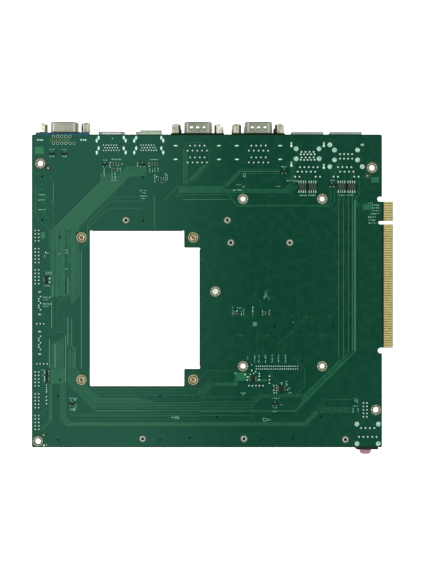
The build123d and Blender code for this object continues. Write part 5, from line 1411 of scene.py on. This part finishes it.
def header_outlines():
    """Printed frames round the pin headers on the component face."""
    low, high = (in_mm(corner) for corner in corners("header_bases"))
    low, high = low - 0.35, high + 0.35
    low[:, 0] = np.maximum(low[:, 0], 0.25)
    return [printed_frame(a, b) for a, b in zip(low, high)]


tab_surface()
lower_outlines = card_sockets() + header_outlines()
module_contacts()
front_contacts()
can_collars()
shell_edges()
second_mouth()
make("printed_frames_below", [(points, [faces[0][:, ::-1]]) for points, faces in lower_outlines],
     SILK, "green_board", closed=False)


# ---------------------------------------------------------------- camera, lamps and floor
RAYS = ("Is Camera Ray", "Is Glossy Ray", "Is Transmission Ray")
LAMPS = [  # name, place, width in metres, watts
    ("left window", (-0.75, 0.15, 0.75), 0.7, 6.4), ("right window", (0.7, 0.45, 0.9), 0.7, 4.4),
    ("front window", (0.1, -0.9, 0.7), 0.6, 3.0),
]
CAMERA_HEIGHT, LENS, SENSOR_HEIGHT = 0.6, 65.58, 36.0  # metres above the board, then mm


def paper_floor():
    """A white sheet under the board, bright only to the rays that look at it."""
    floor = Shade("white paper floor", Emission_Strength=0.92, Roughness=0.9)
    paper = floor.noise(60.0, 2.0)
    seen, shiny, clear = (floor.node("ShaderNodeLightPath", out=ray) for ray in RAYS)
    floor.set(Base_Color=floor.mix(paper, (0.84, 0.84, 0.84), (0.86, 0.86, 0.86)),
              Emission_Color=floor.mix(seen + shiny + clear, (0, 0, 0), (1, 1, 1)))
    mesh = bpy.data.meshes.new("floor")
    mesh.from_pydata([(-3, -3, 0), (3, -3, 0), (3, 3, 0), (-3, 3, 0)], [], [(0, 1, 2, 3)])
    mesh.materials.append(floor.material)
    sheet = put("floor", mesh)


def pale_sky():
    """A white sky that gives less light than it shows to the rays that look at it."""
    world = bpy.data.worlds.new("sky")
    bpy.context.scene.world = world
    world.use_nodes = True
    tree = world.node_tree
    rays = tree.nodes.new("ShaderNodeLightPath")
    sky = tree.nodes.new("ShaderNodeMapRange")
    sky.inputs["To Min"].default_value = 0.4
    seen = sky.inputs["Value"]
    for kind in RAYS:
        either = tree.nodes.new("ShaderNodeMath")
        either.operation = "MAXIMUM"
        tree.links.new(rays.outputs[kind], either.inputs[0])
        tree.links.new(either.outputs[0], seen)
        either.inputs[1].default_value = 0.0
        seen = either.inputs[1]
    back = tree.nodes["Background"]
    back.inputs["Color"].default_value = (1, 1, 1, 1)
    tree.links.new(sky.outputs["Result"], back.inputs["Strength"])


def lamps():
    """Three broad lamps that look at the board."""
    for name, place, size, watts in LAMPS:
        lamp = bpy.data.lights.new(name, "AREA")
        lamp.size = size
        lamp.energy = watts
        holder = put(name, lamp)
        holder.location = place
        holder.rotation_euler = (-Vector(place)).to_track_quat("-Z", "Y").to_euler()


def camera():
    """A camera that looks straight down at the board."""
    body = bpy.data.cameras.new("camera")
    body.sensor_fit = "VERTICAL"
    body.sensor_height = SENSOR_HEIGHT
    body.lens = LENS
    stand = put("camera", body)
    stand.location = (0.0009, 0.0015, SOLDER_FACE + CAMERA_HEIGHT)
    bpy.context.scene.camera = stand


paper_floor()
pale_sky()
lamps()
camera()
bpy.context.scene.view_settings.view_transform = "Standard"

FINISHES = {  # CAD nodes that stay
    "board": MASK, "card_standoffs": STEEL, "module_standoffs": BRASS, "vga_housing": BLUE,
    "audio_housing": BLACK, "module_socket": BLACK, "header_bases": BLACK, "header_pins": GOLD,
    "fine_header": IVORY,
    "tab_contacts_solder_side": GOLD, "tab_contacts_component_side": GOLD,
    "drive_socket_1": BLACK, "drive_socket_2": BLACK,
}
for name in nodes:
    if name.startswith("card_socket"):
        FINISHES[name] = BLACK
    elif name.startswith("com_stack"):
        FINISHES[name] = (BLACK if "housing" in name else GOLD if "pins" in name
                          else NICKEL)
    elif name.startswith(("hdmi_", "lan_usb_")) and name.endswith(("shell", "can")):
        FINISHES[name] = CAN
    elif name.endswith("insert"):
        FINISHES[name] = BLACK
for name, finish in FINISHES.items():
    for holder in nodes[name].material_slots:
        holder.material = finish
